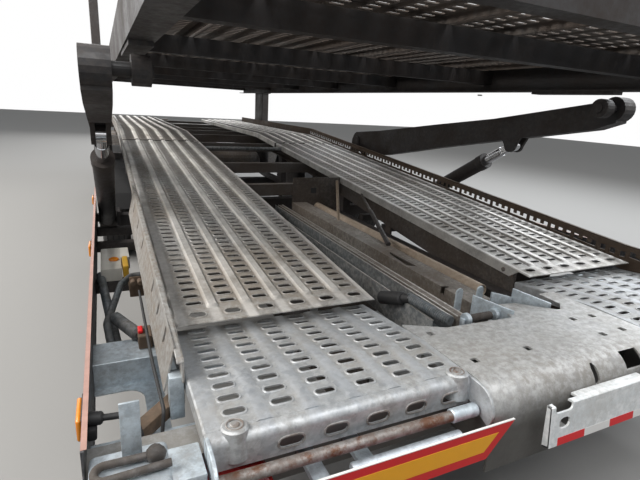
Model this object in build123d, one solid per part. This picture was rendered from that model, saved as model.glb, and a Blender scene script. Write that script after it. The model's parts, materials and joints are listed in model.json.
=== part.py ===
from build123d import *
import math
import os

# A two-deck car transporter trailer with a centre drawbar, parked on its twin wheels and jack leg.
# Millimetres. X points right, Y forward, Z up, and the origin is on the ground at the box's centre.
# A station is a distance forward of the knee, where the sloped runways would start with no overhang.

# Overall
OVERALL_LENGTH = 9520
OVERALL_WIDTH = 2550
REAR_OVERHANG = 660
HALF_WIDTH = OVERALL_WIDTH / 2
SEAT = 0.3
RUNNING = 0.3
MOVING_GAP = 6
SMALL_SIDES = 20

# Lower deck line
KNEE_Z = 640
SLOPE = 4.53
BEND_STATION = 3830
JOINT_STATION = 3210
DECK_FRONT = 7100
SLOPE_START = -28
REAR_PLATE_Z = 626
REAR_PLATE_BEND = -310
REAR_PLATE_TILT = 6.3
REAR_PLATE_END = -485
REAR_PLATE_LAP = 40

# Fluted runway sheet
RUNWAY_INNER = 378
RUNWAY_OUTER = HALF_WIDTH - 232
SHEET = 4
FLANGE = 45
SLOT_MARGIN = 56.6
SLOT_PITCH = 108
REAR_SLOT_MARGIN = 59.2
REAR_SLOT_PITCH = 108.8
RIDGE_HEIGHT = 8
REAR_RIDGE_HEIGHT = 3
RIDGE_BASE = 40
RIDGE_TOP = 24

# Folded lip behind the rear plate, with the bar that runs between its cheeks
LIP_DEPTH = 75
LIP_REACH = 30
LIP_RADIUS = 20
LIP_SLOT = (57, 25)
LIP_SLOT_DROP = 45
LIP_SLOT_SHIFT = 10
CHEEK_SHEET = 8
CHEEK_REACH = 115
LIP_BAR = (-548, 556)
LIP_BAR_RADIUS = 14

# Chassis
BEAM_X = 595
BEAM_WIDTH = 70
BEAM_DEPTH = 200
BEAM_WEB = 8
BEAM_FLANGE = 10
BEAM_REAR = -360
BEAM_FRONT = 7060
CROSS_WIDTH = 60
CROSS_DEPTH = 80
SPLIT_CROSS_STATIONS = (350, 1050)
CROSS_STATIONS = (1750, 2450, 3400, 4000, 4700, 5300, 7030)
CRADLE_Z = (400, 470)
HANGER_SHEET = 12
BAY_WALL = 8
BULKHEAD_SHEET = 6

# Members in the bay between the runways
CHANNEL_X = (0, 110)
CHANNEL_TOP = 600
CHANNEL_SHEET = 6
CHANNEL_REAR = -95
BAY_TUBE = (200, 565)
BAY_TUBE_RADIUS = 28
BAY_TUBE_REAR = 50
RAIL_CENTRES = (-185, -95)
RAIL_WIDTH = 60
RAIL_TOP = 585
RAIL_WEB = 10
RAIL_REAR = -150
TIE_STATION = 3000
TIE_RADIUS = 15

# Lift arms, cylinders and posts
ARM_X = HALF_WIDTH - 70
ARM_WIDTH = 85
ARM_PIVOT = (2900, 950)
ARM_PIN_RADIUS = 30
ARM_BOSS = 95
ARM_EAR_RADIUS = 55
ARM_EAR_SHEETS = (22, 14)
OUTRIGGER_DEPTH = 44
ROLLER = (300, 1340)
ROLLER_RADIUS = 46
ROLLER_WIDTH = 56
ROLLER_PIN = 22
ROLLER_BOSS = 62
ROLLER_GAP = 20
ROD_EYE = (927, 1103)
ROD_EYE_RADIUS = 40
ROD_EYE_WIDTH = 40
ROD_EYE_BORE = 22
ROD_EYE_ROOM = 62
ROD_RADIUS = 30
ROD_NECK = 100
BARREL_RADIUS = 50
BARREL_MOUTH = 1048
BARREL_START = 45
BARREL_BOTTOM = 130
CYLINDER_BASE = (2050, 450)
BASE_PIN_RADIUS = 25
FORK_GAP = 2
FORK_SHEET = 17
POST_STATION = 6200
POST_LENGTH = 380
POST_X = (HALF_WIDTH - 135, HALF_WIDTH - 25)
POST_BOTTOM = 640
POST_TOP = 2600
POST_CROSS_WIDTH = 200
CARRIAGE_WALL = 14
CARRIAGE_END = 20
CARRIAGE_HEIGHT = 240
PAD_MARGIN = 40

# Kerbs, with a row of windows on the slope and a sheet folded down outside the left one's rear run
KERB_X = HALF_WIDTH - 215
KERB_SHEET = 5
KERB_RISE = 70
KERB_DROP = 50
KERB_FLANGE = 18
KERB_REAR = -279
KERB_REAR_Z = (615, 680)
KERB_DIP = -50
KERB_CORNER = -200
KERB_FRONT = POST_STATION + 700
KERB_WINDOW = (130, 28)
KERB_WINDOW_DROP = 34
KERB_WINDOW_PITCH = 149
KERB_WINDOWS = 22
KERB_WINDOW_FIRST = 162
KERB_REAR_WINDOWS = ((-140, -10), (8, 38), (59, 88), (110, 138))
KERB_LEG = (27, 4)
KERB_LEG_END = 1200
REAR_PLATE_OUTER = KERB_X - 4

# Side skirts and the pans inside them
SKIRT_INSET = 0
SKIRT_X = HALF_WIDTH - SKIRT_INSET
SKIRT_TOP = 638
SKIRT_BOTTOM = 410
SKIRT_SHEET = 3
SKIRT_RETURN = 6
SKIRT_REAR = -470
SKIRT_FRONT = 2260
PAN_X = KERB_X + 22
PAN_REAR = -455
PAN_FRONT = 230
PAN_SHEET = 4
PAN_MARGIN = 65
PAN_OPENING = (-180, 40)
PAN_RIBS = ((-340, 60), (70, 130))
PAN_RIB_TOP = 500
SKIRT_HANGERS = (830, 1440, 1770, 2150)
SKIRT_HANGER = (60, 50)
SIDE_LAMPS = (-350, 900, 2000)
SIDE_LAMP = (15, 100, 60)
SIDE_LAMP_Z = 560

# Wheels and axles
TYRE_RADIUS = 355.5
TYRE_WIDTH = 205
TWIN_PITCH = 235
RIM_RADIUS = 222
RIM_WIDTH = 152
RIM_LIP = 12
RIM_WALL = 14
WHEEL_SIDES = 28
TWIN_OUTER = HALF_WIDTH - 25
AXLE_STATIONS = {"rear": 2800, "front": 4000}
AXLE_BEAM = 110
AXLE_END = TWIN_OUTER - 470
STUB_RADIUS = 45
STUB_END = TWIN_OUTER - 152
HUB_RADIUS = 105
HUB_LENGTH = 110
DISC_HALF = 12
DRUM_RADIUS = 175
DRUM_GAP = 12
DRUM_LENGTH = 113
BACKPLATE_SHEET = 14
GUARD_RADIUS = 400
GUARD_SHEET = 3
GUARD_INNER = HALF_WIDTH - 475
GUARD_OUTER = HALF_WIDTH - 13
GUARD_END_ANGLE = 12
GUARD_FLATS = 9
GUARD_PAD = 28

# Suspension
HANGER_REACH = 480
SPRING_REACH = 330
SPRING_RADIUS = 100
TRAILING_WIDTH = 60
TRAILING_DEPTH = 50

# Drawbar, eye and jack
DRAWBAR_WIDTH = 180
DRAWBAR_REAR = 4560
DRAWBAR_FRONT = OVERALL_LENGTH - REAR_OVERHANG - 240
DRAWBAR_KNEE = DRAWBAR_FRONT - 1270
DRAWBAR_TOP = 570
DRAWBAR_BOTTOM = 420
DRAWBAR_ROOT = 660
EYE_BORE = 25
EYE_RADIUS = 60
EYE_HEIGHT = 50
EYE_Z = 490
EYE_SHANK = (64, 40)
EYE_FLANGE = (160, 24, 124)
JACK_STATION = DRAWBAR_FRONT - 900
JACK_X = -150
JACK_TUBE = 90
JACK_INNER = 70
JACK_TOP = 900
JACK_SPLIT = 330
JACK_FOOT = 200
JACK_FOOT_SHEET = 20
CRANK_RADIUS = 11
CRANK_ARM = 200

# Housings and the air tank
HOUSINGS = {"hydraulic_unit": (4760, 5560), "toolbox": (4760, 5760)}
HOUSING_Z = (470, 808)
HOUSING_OUTER = HALF_WIDTH - 40
HOUSING_CHAMFER = 14
TANK_POINT = (3650, 640)
TANK_RADIUS = 120
TANK_LENGTH = 700
TANK_STRAP_X = (200, 240)

# Upper deck
UPPER_BOTTOM = 1420
UPPER_DEPTH = 157
UPPER_REAR = -600
UPPER_FRONT = 7000
UPPER_BEAM_X = (HALF_WIDTH - 235, HALF_WIDTH - 155)
UPPER_WALL = 8
UPPER_CROSS = (-560, 70, 1140, 2240, 3340, 4440, 5540, 6960)
UPPER_CROSS_WIDTH = 60
UPPER_CROSS_DEPTH = 80
PLANK_EDGES = (140, 780)
PLANK_GAP = 20
PLANK_FLANGE = 30
WEAR_PAD_RUN = (60, 420)

# Folded cover between the runways and the box beam that carries the rear end
COVER_Z = 613
COVER_TILT = 1.6
COVER_SHEET = 6
COVER_FRONT = -143
COVER_REAR = -600
COVER_FOOT = 400
COVER_RADIUS = 80
COVER_LEFT_EDGE = -195
# Corners of its front edge from left to right, as (x, station)
COVER_EDGE = ((-252, -260), (16, -273), (60, -168), (131, -181),
              (232, -276), (247, -279), (293, -243), (300, -143))
# Middles of its square lashing holes, as (x, station)
LASHING_HOLES = ((-329, -278), (-315, -452), (-114, -453), (214, -354), (305, -359), (301, -467), (201, -469))
LASHING_HOLE = 22
OVAL_HOLE = (11, 590)
OVAL_HOLE_SIZE = (50, 22)
COVER_WINDOW = ((145, 225), (580, 620))
REAR_BEAM = (-460, -366)
REAR_BEAM_Z = (430, 560)
COVER_RIBS = (-370, 0, 370)
RIB_SHEET = 8

# Corner boxes, marking boards, lamps and the underrun guard
CORNER_X = (KERB_X + 2, SKIRT_X - 10)
CORNER_STATIONS = (-585, -437)
CORNER_TOP = 600
CORNER_PLATE_X = (HALF_WIDTH - 105, HALF_WIDTH - 70)
CORNER_PLATE_TOP = 746
BOARD_LENGTH = 565
BOARD_Z = (357, 552)
BOARD_INNER = 327
BOARD_SHEET = 4
BOARD_ARMS = (700, 820)
BOARD_ARM_Z = (480, 500)
BOARD_TUBE_X = (450, 755)
BOARD_TUBE_STATION = -570
BOARD_TUBE_RADIUS = 14
LAMP_X = (HALF_WIDTH - 350, HALF_WIDTH - 85)
LAMP_Z = (380, 530)
LAMP_REAR = -560
GUARD_BAR_X = (-230, 640)
# Section of the guard's folded bar from its upper front corner, as (station, height)
GUARD_BAR = ((-625, 580), (-641, 580), (-655, 470), (-633, 462),
             (-632, 468), (-649, 474), (-636, 574), (-625, 574))
GUARD_BAR_FEET = (-150, 180)
GUARD_FOOT_Z = (462, 492)
GUARD_END_SHEET = 5


def y_of(station):
    return station - OVERALL_LENGTH / 2 + REAR_OVERHANG


def rear_top(station):
    """Height of the rear plate's upper face, level behind its bend and falling towards the knee."""
    return REAR_PLATE_Z - max(station - REAR_PLATE_BEND, 0) * math.tan(math.radians(REAR_PLATE_TILT))


def slope_top(station):
    """Height of the upper face of the sloped and front runways."""
    return KNEE_Z + min(station, BEND_STATION) * math.tan(math.radians(SLOPE))


def deck_top(station):
    """Height of the lowest runway sheet's upper face, in the valleys between the ridges."""
    return rear_top(station) if station < 0 else slope_top(station)


def cover_top(station):
    """Height of the folded cover's upper face, between the runways."""
    return COVER_Z - station * math.tan(math.radians(COVER_TILT))


def block(x, stations, z):
    """Box between two corners, given as pairs."""
    low = Vector(min(x), y_of(min(stations)), min(z))
    high = Vector(max(x), y_of(max(stations)), max(z))
    size = high - low
    return Pos(*((low + high) / 2)) * Box(size.X, size.Y, size.Z)


def polygon(points):
    return Face(Wire.make_polygon(points, close=True))


def plate(outline, x):
    """Plate with an outline of (station, height) points, between two x values."""
    face = polygon([(x[0], y_of(s), z) for s, z in outline])
    return extrude(face, amount=abs(x[1] - x[0]), dir=(math.copysign(1, x[1] - x[0]), 0, 0))


def strip(line, thickness):
    """Closed outline of a sheet whose upper face follows a line of points."""
    return list(line) + [(s, z - thickness) for s, z in reversed(line)]


def pin(point, x, radius):
    """Cylinder along X at a (station, height) point."""
    place = Pos((x[0] + x[1]) / 2, y_of(point[0]), point[1])
    return place * Rot(0, 90, 0) * Cylinder(radius, abs(x[1] - x[0]))


def disc(point, x, radius):
    """Drum along X with many flat sides, for what nothing turns in."""
    end = Plane(origin=(min(x), y_of(point[0]), point[1]), z_dir=(1, 0, 0))
    return extrude(end * RegularPolygon(radius, SMALL_SIDES), amount=abs(x[1] - x[0]))


def rod(start, end, radius):
    """Cylinder between two points in the part's own frame."""
    axis = Vector(*end) - Vector(*start)
    upright = Cylinder(radius, axis.length, align=(Align.CENTER, Align.CENTER, Align.MIN))
    return Plane(origin=start, z_dir=axis) * upright


def turned(centre, outline, sides, hollow):
    """Solid about an axis along X at a (station, height) point, from rings given as (x, radius).
    Its rings are many flat sides. A hollow one closes on its first ring, and another ends in flat discs."""
    station, height = centre
    step = 2 * math.pi / sides
    reach = 1 / math.cos(step / 2)
    turns = [(reach * math.cos(step * (k + 0.5)), reach * math.sin(step * (k + 0.5))) for k in range(sides)]
    rings = [[(x, y_of(station) + r * a, height + r * b) for a, b in turns] for x, r in outline]
    pairs = list(zip(rings, rings[1:])) + ([(rings[-1], rings[0])] if hollow else [])
    faces = [polygon([near[k - 1], near[k], far[k], far[k - 1]]) for near, far in pairs for k in range(sides)]
    if not hollow:
        faces += [polygon(rings[0]), polygon(rings[-1])]
    return Solid(Shell(faces))


def fillet_at(solid, station, z, radius):
    """Round the edge along X that lies nearest to a (station, height) point."""
    edge = min(solid.edges().filter_by(Axis.X),
               key=lambda e: math.hypot(e.center().Y - y_of(station), e.center().Z - z))
    return fillet(edge, radius)


def mirrored(shape):
    return mirror(shape, about=Plane.YZ)


def save(node, *solids):
    shape = solids[0] if len(solids) == 1 else Compound(children=[s for one in solids for s in one.solids()])
    export_step(shape, f"parts/{node}.step")


def save_pair(node, shape):
    """Save the right-hand shape and its mirror image."""
    save(f"{node}_right", shape)
    save(f"{node}_left", mirrored(shape))


def slot_columns(outer, margin, pitch):
    """X of each column of slots that fits across a runway, with a margin at both edges."""
    count = 1 + int((outer - RUNWAY_INNER - 2 * margin) // pitch)
    return [RUNWAY_INNER + margin + pitch * k for k in range(count)]


def ridges_between(columns):
    return [(a + b) / 2 for a, b in zip(columns, columns[1:])]


def fluted_section(inner, outer, ridges, height, drop):
    """Cross-section of a fluted sheet with folded edges, as (x, height) points from its upper face."""
    upper = [(inner, 0)]
    for centre in ridges:
        upper += [(centre - RIDGE_BASE / 2, 0), (centre - RIDGE_TOP / 2, height),
                  (centre + RIDGE_TOP / 2, height), (centre + RIDGE_BASE / 2, 0)]
    upper.append((outer, 0))
    under = [(x, z - SHEET) for x, z in reversed(upper[1:-1])]
    outer_fold = [(outer, -drop), (outer - SHEET, -drop), (outer - SHEET, -SHEET)]
    inner_fold = [(inner + SHEET, -SHEET), (inner + SHEET, -drop), (inner, -drop)]
    return upper + outer_fold + under + inner_fold


def fluted_run(section, start, end, z_start, z_end):
    """Fluted sheet from one station to another, its upper face rising from z_start to z_end."""
    face = polygon([(x, y_of(start), z_start + z) for x, z in section])
    run = Vector(0, end - start, z_end - z_start)
    return extrude(face, amount=run.length, dir=run)


def oblong(length, height):
    """Outline of a long hole with bevelled ends, about its middle."""
    half, rise = length / 2, height / 2
    tip, straight = rise * 0.4, half - rise * 0.8
    side = [(half, -tip), (half, tip), (straight, rise), (-straight, rise)]
    return side + [(-a, -b) for a, b in side]


def lip():
    """Sheet folded down behind the rear plate, with slots, two cheeks and the bar between them."""
    top = deck_top(REAR_PLATE_END)
    back = REAR_PLATE_END - LIP_REACH
    line = [(REAR_PLATE_END, top), (back, top), (back, top - LIP_DEPTH)]
    inner = back + SHEET
    line += [(inner, top - LIP_DEPTH), (inner, top - SHEET), (REAR_PLATE_END, top - SHEET)]
    fold = plate(line, (RUNWAY_INNER, REAR_PLATE_OUTER))
    fold = fillet_at(fold, inner, top - SHEET, LIP_RADIUS - SHEET)
    fold = fillet_at(fold, back, top, LIP_RADIUS)
    for x in slot_columns(REAR_PLATE_OUTER, SLOT_MARGIN, SLOT_PITCH)[:-1]:
        middle_x = x + LIP_SLOT_SHIFT
        outline = [(middle_x + a, y_of(back) - SHEET, top - LIP_SLOT_DROP + b) for a, b in oblong(*LIP_SLOT)]
        fold -= extrude(polygon(outline), amount=3 * SHEET, dir=(0, 1, 0))
    end = REAR_PLATE_END - CHEEK_REACH
    cheek = [(REAR_PLATE_END + 1, top), (back - 20, top), (end + 15, top - 30), (end, top - 60),
             (end + 10, top - LIP_DEPTH - 12), (back, top - LIP_DEPTH - 12), (REAR_PLATE_END + 1, top - 40)]
    fold += plate(cheek, (RUNWAY_INNER, RUNWAY_INNER + CHEEK_SHEET))
    fold += plate(cheek, (REAR_PLATE_OUTER - CHEEK_SHEET, REAR_PLATE_OUTER))
    return fold + pin(LIP_BAR, (RUNWAY_INNER + 1, REAR_PLATE_OUTER - 1), LIP_BAR_RADIUS)


def runways():
    ridges = ridges_between(slot_columns(RUNWAY_OUTER, SLOT_MARGIN, SLOT_PITCH))
    folded = fluted_section(RUNWAY_INNER, RUNWAY_OUTER, ridges, RIDGE_HEIGHT, FLANGE)
    skin = fluted_section(RUNWAY_INNER, RUNWAY_OUTER, ridges, RIDGE_HEIGHT, SHEET + 1)
    rear_ridges = ridges_between(slot_columns(REAR_PLATE_OUTER, REAR_SLOT_MARGIN, REAR_SLOT_PITCH))
    rear_section = fluted_section(RUNWAY_INNER, REAR_PLATE_OUTER, rear_ridges, REAR_RIDGE_HEIGHT, FLANGE)
    level_z = rear_top(REAR_PLATE_BEND)
    rear = fluted_run(rear_section, REAR_PLATE_END, REAR_PLATE_BEND, level_z, level_z)
    rear += fluted_run(rear_section, REAR_PLATE_BEND, REAR_PLATE_LAP, level_z, rear_top(REAR_PLATE_LAP))
    save_pair("runway_rear", rear + lip())

    # Sloped panel, its folded edges starting clear of the rear plate
    fold_start = REAR_PLATE_LAP + MOVING_GAP
    joint = JOINT_STATION - 1
    tail = fluted_run(skin, SLOPE_START, fold_start, slope_top(SLOPE_START), slope_top(fold_start))
    slope = fluted_run(folded, fold_start, joint, deck_top(fold_start), deck_top(joint))
    save_pair("runway_slope", tail + slope)

    # Front runway over the bend
    start = JOINT_STATION + 1
    level_z = deck_top(BEND_STATION)
    rise = fluted_run(folded, start, BEND_STATION, deck_top(start), level_z)
    save_pair("runway_front", rise + fluted_run(folded, BEND_STATION, DECK_FRONT, level_z, level_z))


def beam_line():
    """Upper edge of a chassis beam, just under the runway sheets."""
    step = REAR_PLATE_LAP + MOVING_GAP / 2
    under = SHEET + SEAT
    rear = [(s, rear_top(s) - under) for s in (BEAM_REAR, REAR_PLATE_BEND, step)]
    return rear + [(s, slope_top(s) - under) for s in (step, BEND_STATION, BEAM_FRONT)]


def beam_underside(station):
    """Height just under a chassis beam."""
    return deck_top(station) - SHEET - SEAT - BEAM_DEPTH - SEAT


def cross_top(station, width=CROSS_WIDTH):
    return deck_top(station - width / 2) - FLANGE - SEAT


def around(station, width):
    return station - width / 2, station + width / 2


def chassis():
    line = beam_line()
    half = BEAM_WIDTH / 2
    rear, fore = line[:3], line[3:]
    lower = [(s, z - BEAM_DEPTH) for s, z in (rear[0], *fore)]
    web = plate(line + lower[::-1], around(BEAM_X, BEAM_WEB))
    cap = plate(strip(rear, BEAM_FLANGE), (BEAM_X - half, BEAM_X + half))
    cap += plate(strip(fore, BEAM_FLANGE), (BEAM_X - half, BEAM_X + half))
    foot = plate(strip([(s, z + BEAM_FLANGE) for s, z in lower], BEAM_FLANGE), (BEAM_X - half, BEAM_X + half))
    side = web + cap + foot
    reach = KERB_X - SEAT

    # Cross members outside the open bay, the bay's wall and the cradles hung across it
    wall_x = RUNWAY_INNER + SHEET + 2
    first, last = fore[0][0] + MOVING_GAP, CROSS_STATIONS[0]
    under = SHEET + SEAT
    side += plate([(first, deck_top(first) - under), (last, deck_top(last) - under),
                   (last, cross_top(last) - CROSS_DEPTH), (first, CRADLE_Z[1])], (wall_x, wall_x + BAY_WALL))
    for s in SPLIT_CROSS_STATIONS:
        top = cross_top(s)
        side += block((wall_x, reach), around(s, CROSS_WIDTH), (top - CROSS_DEPTH, top))
        hanger_z = (CRADLE_Z[0], top - CROSS_DEPTH + 1)
        side += block((wall_x, wall_x + HANGER_SHEET), around(s, CROSS_WIDTH), hanger_z)
    frame = side + mirrored(side)
    for s in SPLIT_CROSS_STATIONS:
        frame += block((-wall_x - 1, wall_x + 1), around(s, CROSS_WIDTH), CRADLE_Z)
        foot_z = (CRADLE_Z[1] - 1, BAY_TUBE[1] - BAY_TUBE_RADIUS - SEAT)
        frame += block(around(BAY_TUBE[0], BAY_TUBE_RADIUS), around(s, CROSS_WIDTH), foot_z)
    for s in CROSS_STATIONS:
        top = cross_top(s)
        frame += block((-reach, reach), around(s, CROSS_WIDTH), (top - CROSS_DEPTH, top))
    # Bulkhead that closes the bay's right half
    back = CROSS_STATIONS[0] - CROSS_WIDTH / 2
    bulkhead_x = (0, RUNWAY_INNER - MOVING_GAP)
    frame += block(bulkhead_x, (back - BULKHEAD_SHEET, back + 1), (CRADLE_Z[1], deck_top(back)))

    # Wide cross member that carries the posts, lowered beyond the kerbs
    top = cross_top(POST_STATION)
    wide = around(POST_STATION, POST_CROSS_WIDTH)
    frame += block((-reach, reach), wide, (top - CROSS_DEPTH, top))
    outreach = POST_X[0] - SEAT
    kerb_foot = deck_top(POST_STATION) - KERB_DROP
    frame += block((-outreach, outreach), wide, (top - CROSS_DEPTH, kerb_foot - MOVING_GAP))
    save("chassis_frame", frame)


def centre_members():
    """Channel, tube and two stowed ramp rails on the cradles, and the tie bar between the runways."""
    front = CROSS_STATIONS[0] - CROSS_WIDTH / 2 - BULKHEAD_SHEET - SEAT
    seat = CRADLE_Z[1] + SEAT
    low, high = CHANNEL_X
    channel = block(CHANNEL_X, (CHANNEL_REAR, front), (CHANNEL_TOP - CHANNEL_SHEET, CHANNEL_TOP))
    for x in ((low, low + CHANNEL_SHEET), (high - CHANNEL_SHEET, high)):
        channel += block(x, (CHANNEL_REAR, front), (seat, CHANNEL_TOP))
    tube_x, tube_z = BAY_TUBE
    tube = rod((tube_x, y_of(BAY_TUBE_REAR), tube_z), (tube_x, y_of(front), tube_z), BAY_TUBE_RADIUS)
    rails = []
    for centre in RAIL_CENTRES:
        stations = (RAIL_REAR, front)
        rail = block(around(centre, RAIL_WEB), stations, (seat, RAIL_TOP))
        rail += block(around(centre, RAIL_WIDTH), stations, (seat, seat + RAIL_WEB))
        rails.append(rail + block(around(centre, RAIL_WIDTH), stations, (RAIL_TOP - RAIL_WEB, RAIL_TOP)))
    tie_z = deck_top(TIE_STATION) - FLANGE + TIE_RADIUS + 2
    reach = RUNWAY_INNER - SEAT
    save("centre_members", channel, tube, *rails, pin((TIE_STATION, tie_z), (-reach, reach), TIE_RADIUS))


def rear_crossbeam():
    inner = RUNWAY_INNER - 1
    inside = COVER_REAR + COVER_SHEET
    top_a, top_b = cover_top(COVER_FRONT), cover_top(COVER_REAR)
    outline = [(COVER_FRONT, top_a), (COVER_REAR, top_b), (COVER_REAR, COVER_FOOT), (inside, COVER_FOOT),
               (inside, top_b - COVER_SHEET), (COVER_FRONT, top_a - COVER_SHEET)]
    cover = plate(outline, (-inner, inner))
    cover = fillet_at(cover, inside, top_b - COVER_SHEET, COVER_RADIUS - COVER_SHEET)
    cover = fillet_at(cover, COVER_REAR, top_b, COVER_RADIUS)
    # Cut its front edge, its lashing holes and the two holes in its folded face
    beyond = COVER_FRONT + 10
    edge = [(-inner - 1, COVER_LEFT_EDGE), *COVER_EDGE, (COVER_EDGE[-1][0], beyond), (-inner - 1, beyond)]
    cover -= extrude(polygon([(x, y_of(s), COVER_FOOT) for x, s in edge]), amount=BEAM_DEPTH + COVER_RADIUS,
                     dir=(0, 0, 1))
    for x, s in LASHING_HOLES:
        cover -= block(around(x, LASHING_HOLE), around(s, LASHING_HOLE), (top_b - 30, top_a + 30))
    depth = COVER_RADIUS * 0.75
    hole_x, hole_z = OVAL_HOLE
    outline = [(hole_x + b, y_of(COVER_REAR) - 1, hole_z + a) for a, b in oblong(*OVAL_HOLE_SIZE)]
    cover -= extrude(polygon(outline), amount=depth, dir=(0, 1, 0))
    cover -= block(COVER_WINDOW[0], (COVER_REAR - 1, COVER_REAR + depth), COVER_WINDOW[1])
    # Box beam across the rear and the ribs between it and the cover
    reach = SKIRT_X - SKIRT_SHEET - SEAT
    beam_rear, beam_top = REAR_BEAM[0] + 1, REAR_BEAM_Z[1]
    rib_z = (REAR_BEAM_Z[0] + 10, top_b - COVER_RADIUS + 10)
    for x in COVER_RIBS:
        cover += block(around(x, RIB_SHEET), (inside - 1, beam_rear), rib_z)
    for x in (COVER_RIBS[0], COVER_RIBS[-1]):
        ahead = BEAM_REAR + 60
        cover += plate([(beam_rear, beam_top - 20), (ahead, beam_top - 20), (ahead, cover_top(ahead) - 1),
                        (beam_rear, cover_top(beam_rear) - 1)], around(x, RIB_SHEET))
    save("rear_crossbeam", cover + block((-reach, reach), REAR_BEAM, REAR_BEAM_Z))


def kerbs():
    fore = (0, BEND_STATION, KERB_FRONT)
    low, high = KERB_REAR_Z
    top = [(KERB_REAR, high), (KERB_DIP, KNEE_Z + KERB_RISE)]
    top += [(s, deck_top(s) + KERB_RISE) for s in fore]
    foot = [(KERB_REAR, low), (KERB_CORNER, KNEE_Z - KERB_DROP)]
    foot += [(s, deck_top(s) - KERB_DROP) for s in fore]
    kerb = plate(top + foot[::-1], (KERB_X, KERB_X + KERB_SHEET))
    kerb += plate(strip(top, KERB_SHEET), (KERB_X, KERB_X + KERB_FLANGE))
    length, height = KERB_WINDOW
    starts = [KERB_WINDOW_FIRST + KERB_WINDOW_PITCH * k for k in range(KERB_WINDOWS)]
    for start, end in [*KERB_REAR_WINDOWS, *[(start, start + length) for start in starts]]:
        edge = [(s, deck_top(max(s, 0)) + KERB_RISE - KERB_WINDOW_DROP) for s in (start, end)]
        kerb -= plate(strip(edge, height), (KERB_X - 1, KERB_X + KERB_SHEET + 1))
    save("kerb_right", kerb)

    # Sheet that leans outwards from the left kerb's flange, over the rear of the slope
    reach, sheet = KERB_LEG
    root = KERB_X + KERB_FLANGE
    section = [(root - 1, KERB_RISE), (root + reach, -KERB_DROP), (root + reach - sheet, -KERB_DROP),
               (root - sheet - 1, KERB_RISE - KERB_SHEET + 1)]
    fall = (KNEE_Z + KERB_RISE - high) * (KERB_DIP - KERB_CORNER) / (KERB_DIP - KERB_REAR)
    leg = fluted_run(section, KERB_CORNER, KERB_DIP, KNEE_Z - fall, KNEE_Z)
    leg += fluted_run(section, KERB_DIP, 0, KNEE_Z, KNEE_Z)
    leg += fluted_run(section, 0, KERB_LEG_END, KNEE_Z, deck_top(KERB_LEG_END))
    save("kerb_left", mirrored(kerb + leg))


def skirts():
    face = (SKIRT_X - SKIRT_SHEET, SKIRT_X)
    stations = (SKIRT_REAR, SKIRT_FRONT)
    skirt = block(face, stations, (SKIRT_BOTTOM, SKIRT_TOP))
    for z in (SKIRT_BOTTOM, SKIRT_TOP - SKIRT_SHEET):
        skirt += block((SKIRT_X - SKIRT_RETURN, SKIRT_X), stations, (z, z + SKIRT_SHEET))
    save_pair("side_skirt", skirt)

    # Pan between the chassis and the skirt, with its opening and the folded ribs that carry it
    beam_side = BEAM_X + BEAM_WIDTH / 2 + SEAT
    outer = face[0] - SEAT
    low = SKIRT_BOTTOM + SKIRT_SHEET + SEAT
    pan = block((PAN_X, outer), (PAN_REAR, PAN_FRONT), (low, low + PAN_SHEET))
    pan -= block((PAN_X + PAN_MARGIN, outer + 1), PAN_OPENING, (low - 1, low + PAN_SHEET + 1))
    for start, width in PAN_RIBS:
        rib = block((beam_side, outer), (start, start + width), (low, PAN_RIB_TOP))
        inside = (start + PAN_SHEET, start + width - PAN_SHEET)
        pan += rib - block((beam_side - 1, outer + 1), inside, (low - 1, PAN_RIB_TOP - PAN_SHEET))
    brackets = [pan]
    for start in SKIRT_HANGERS:
        width, height = SKIRT_HANGER
        brackets.append(block((beam_side, outer), (start, start + width), (low, low + height)))
    save("skirt_brackets", *brackets, *[mirrored(one) for one in brackets])

    reach, length, height = SIDE_LAMP
    lamp_z = (SIDE_LAMP_Z, SIDE_LAMP_Z + height)
    lamps = [block((SKIRT_X + SEAT, SKIRT_X + reach), (s, s + length), lamp_z) for s in SIDE_LAMPS]
    save("side_lamps", *lamps, *[mirrored(lamp) for lamp in lamps])


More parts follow.
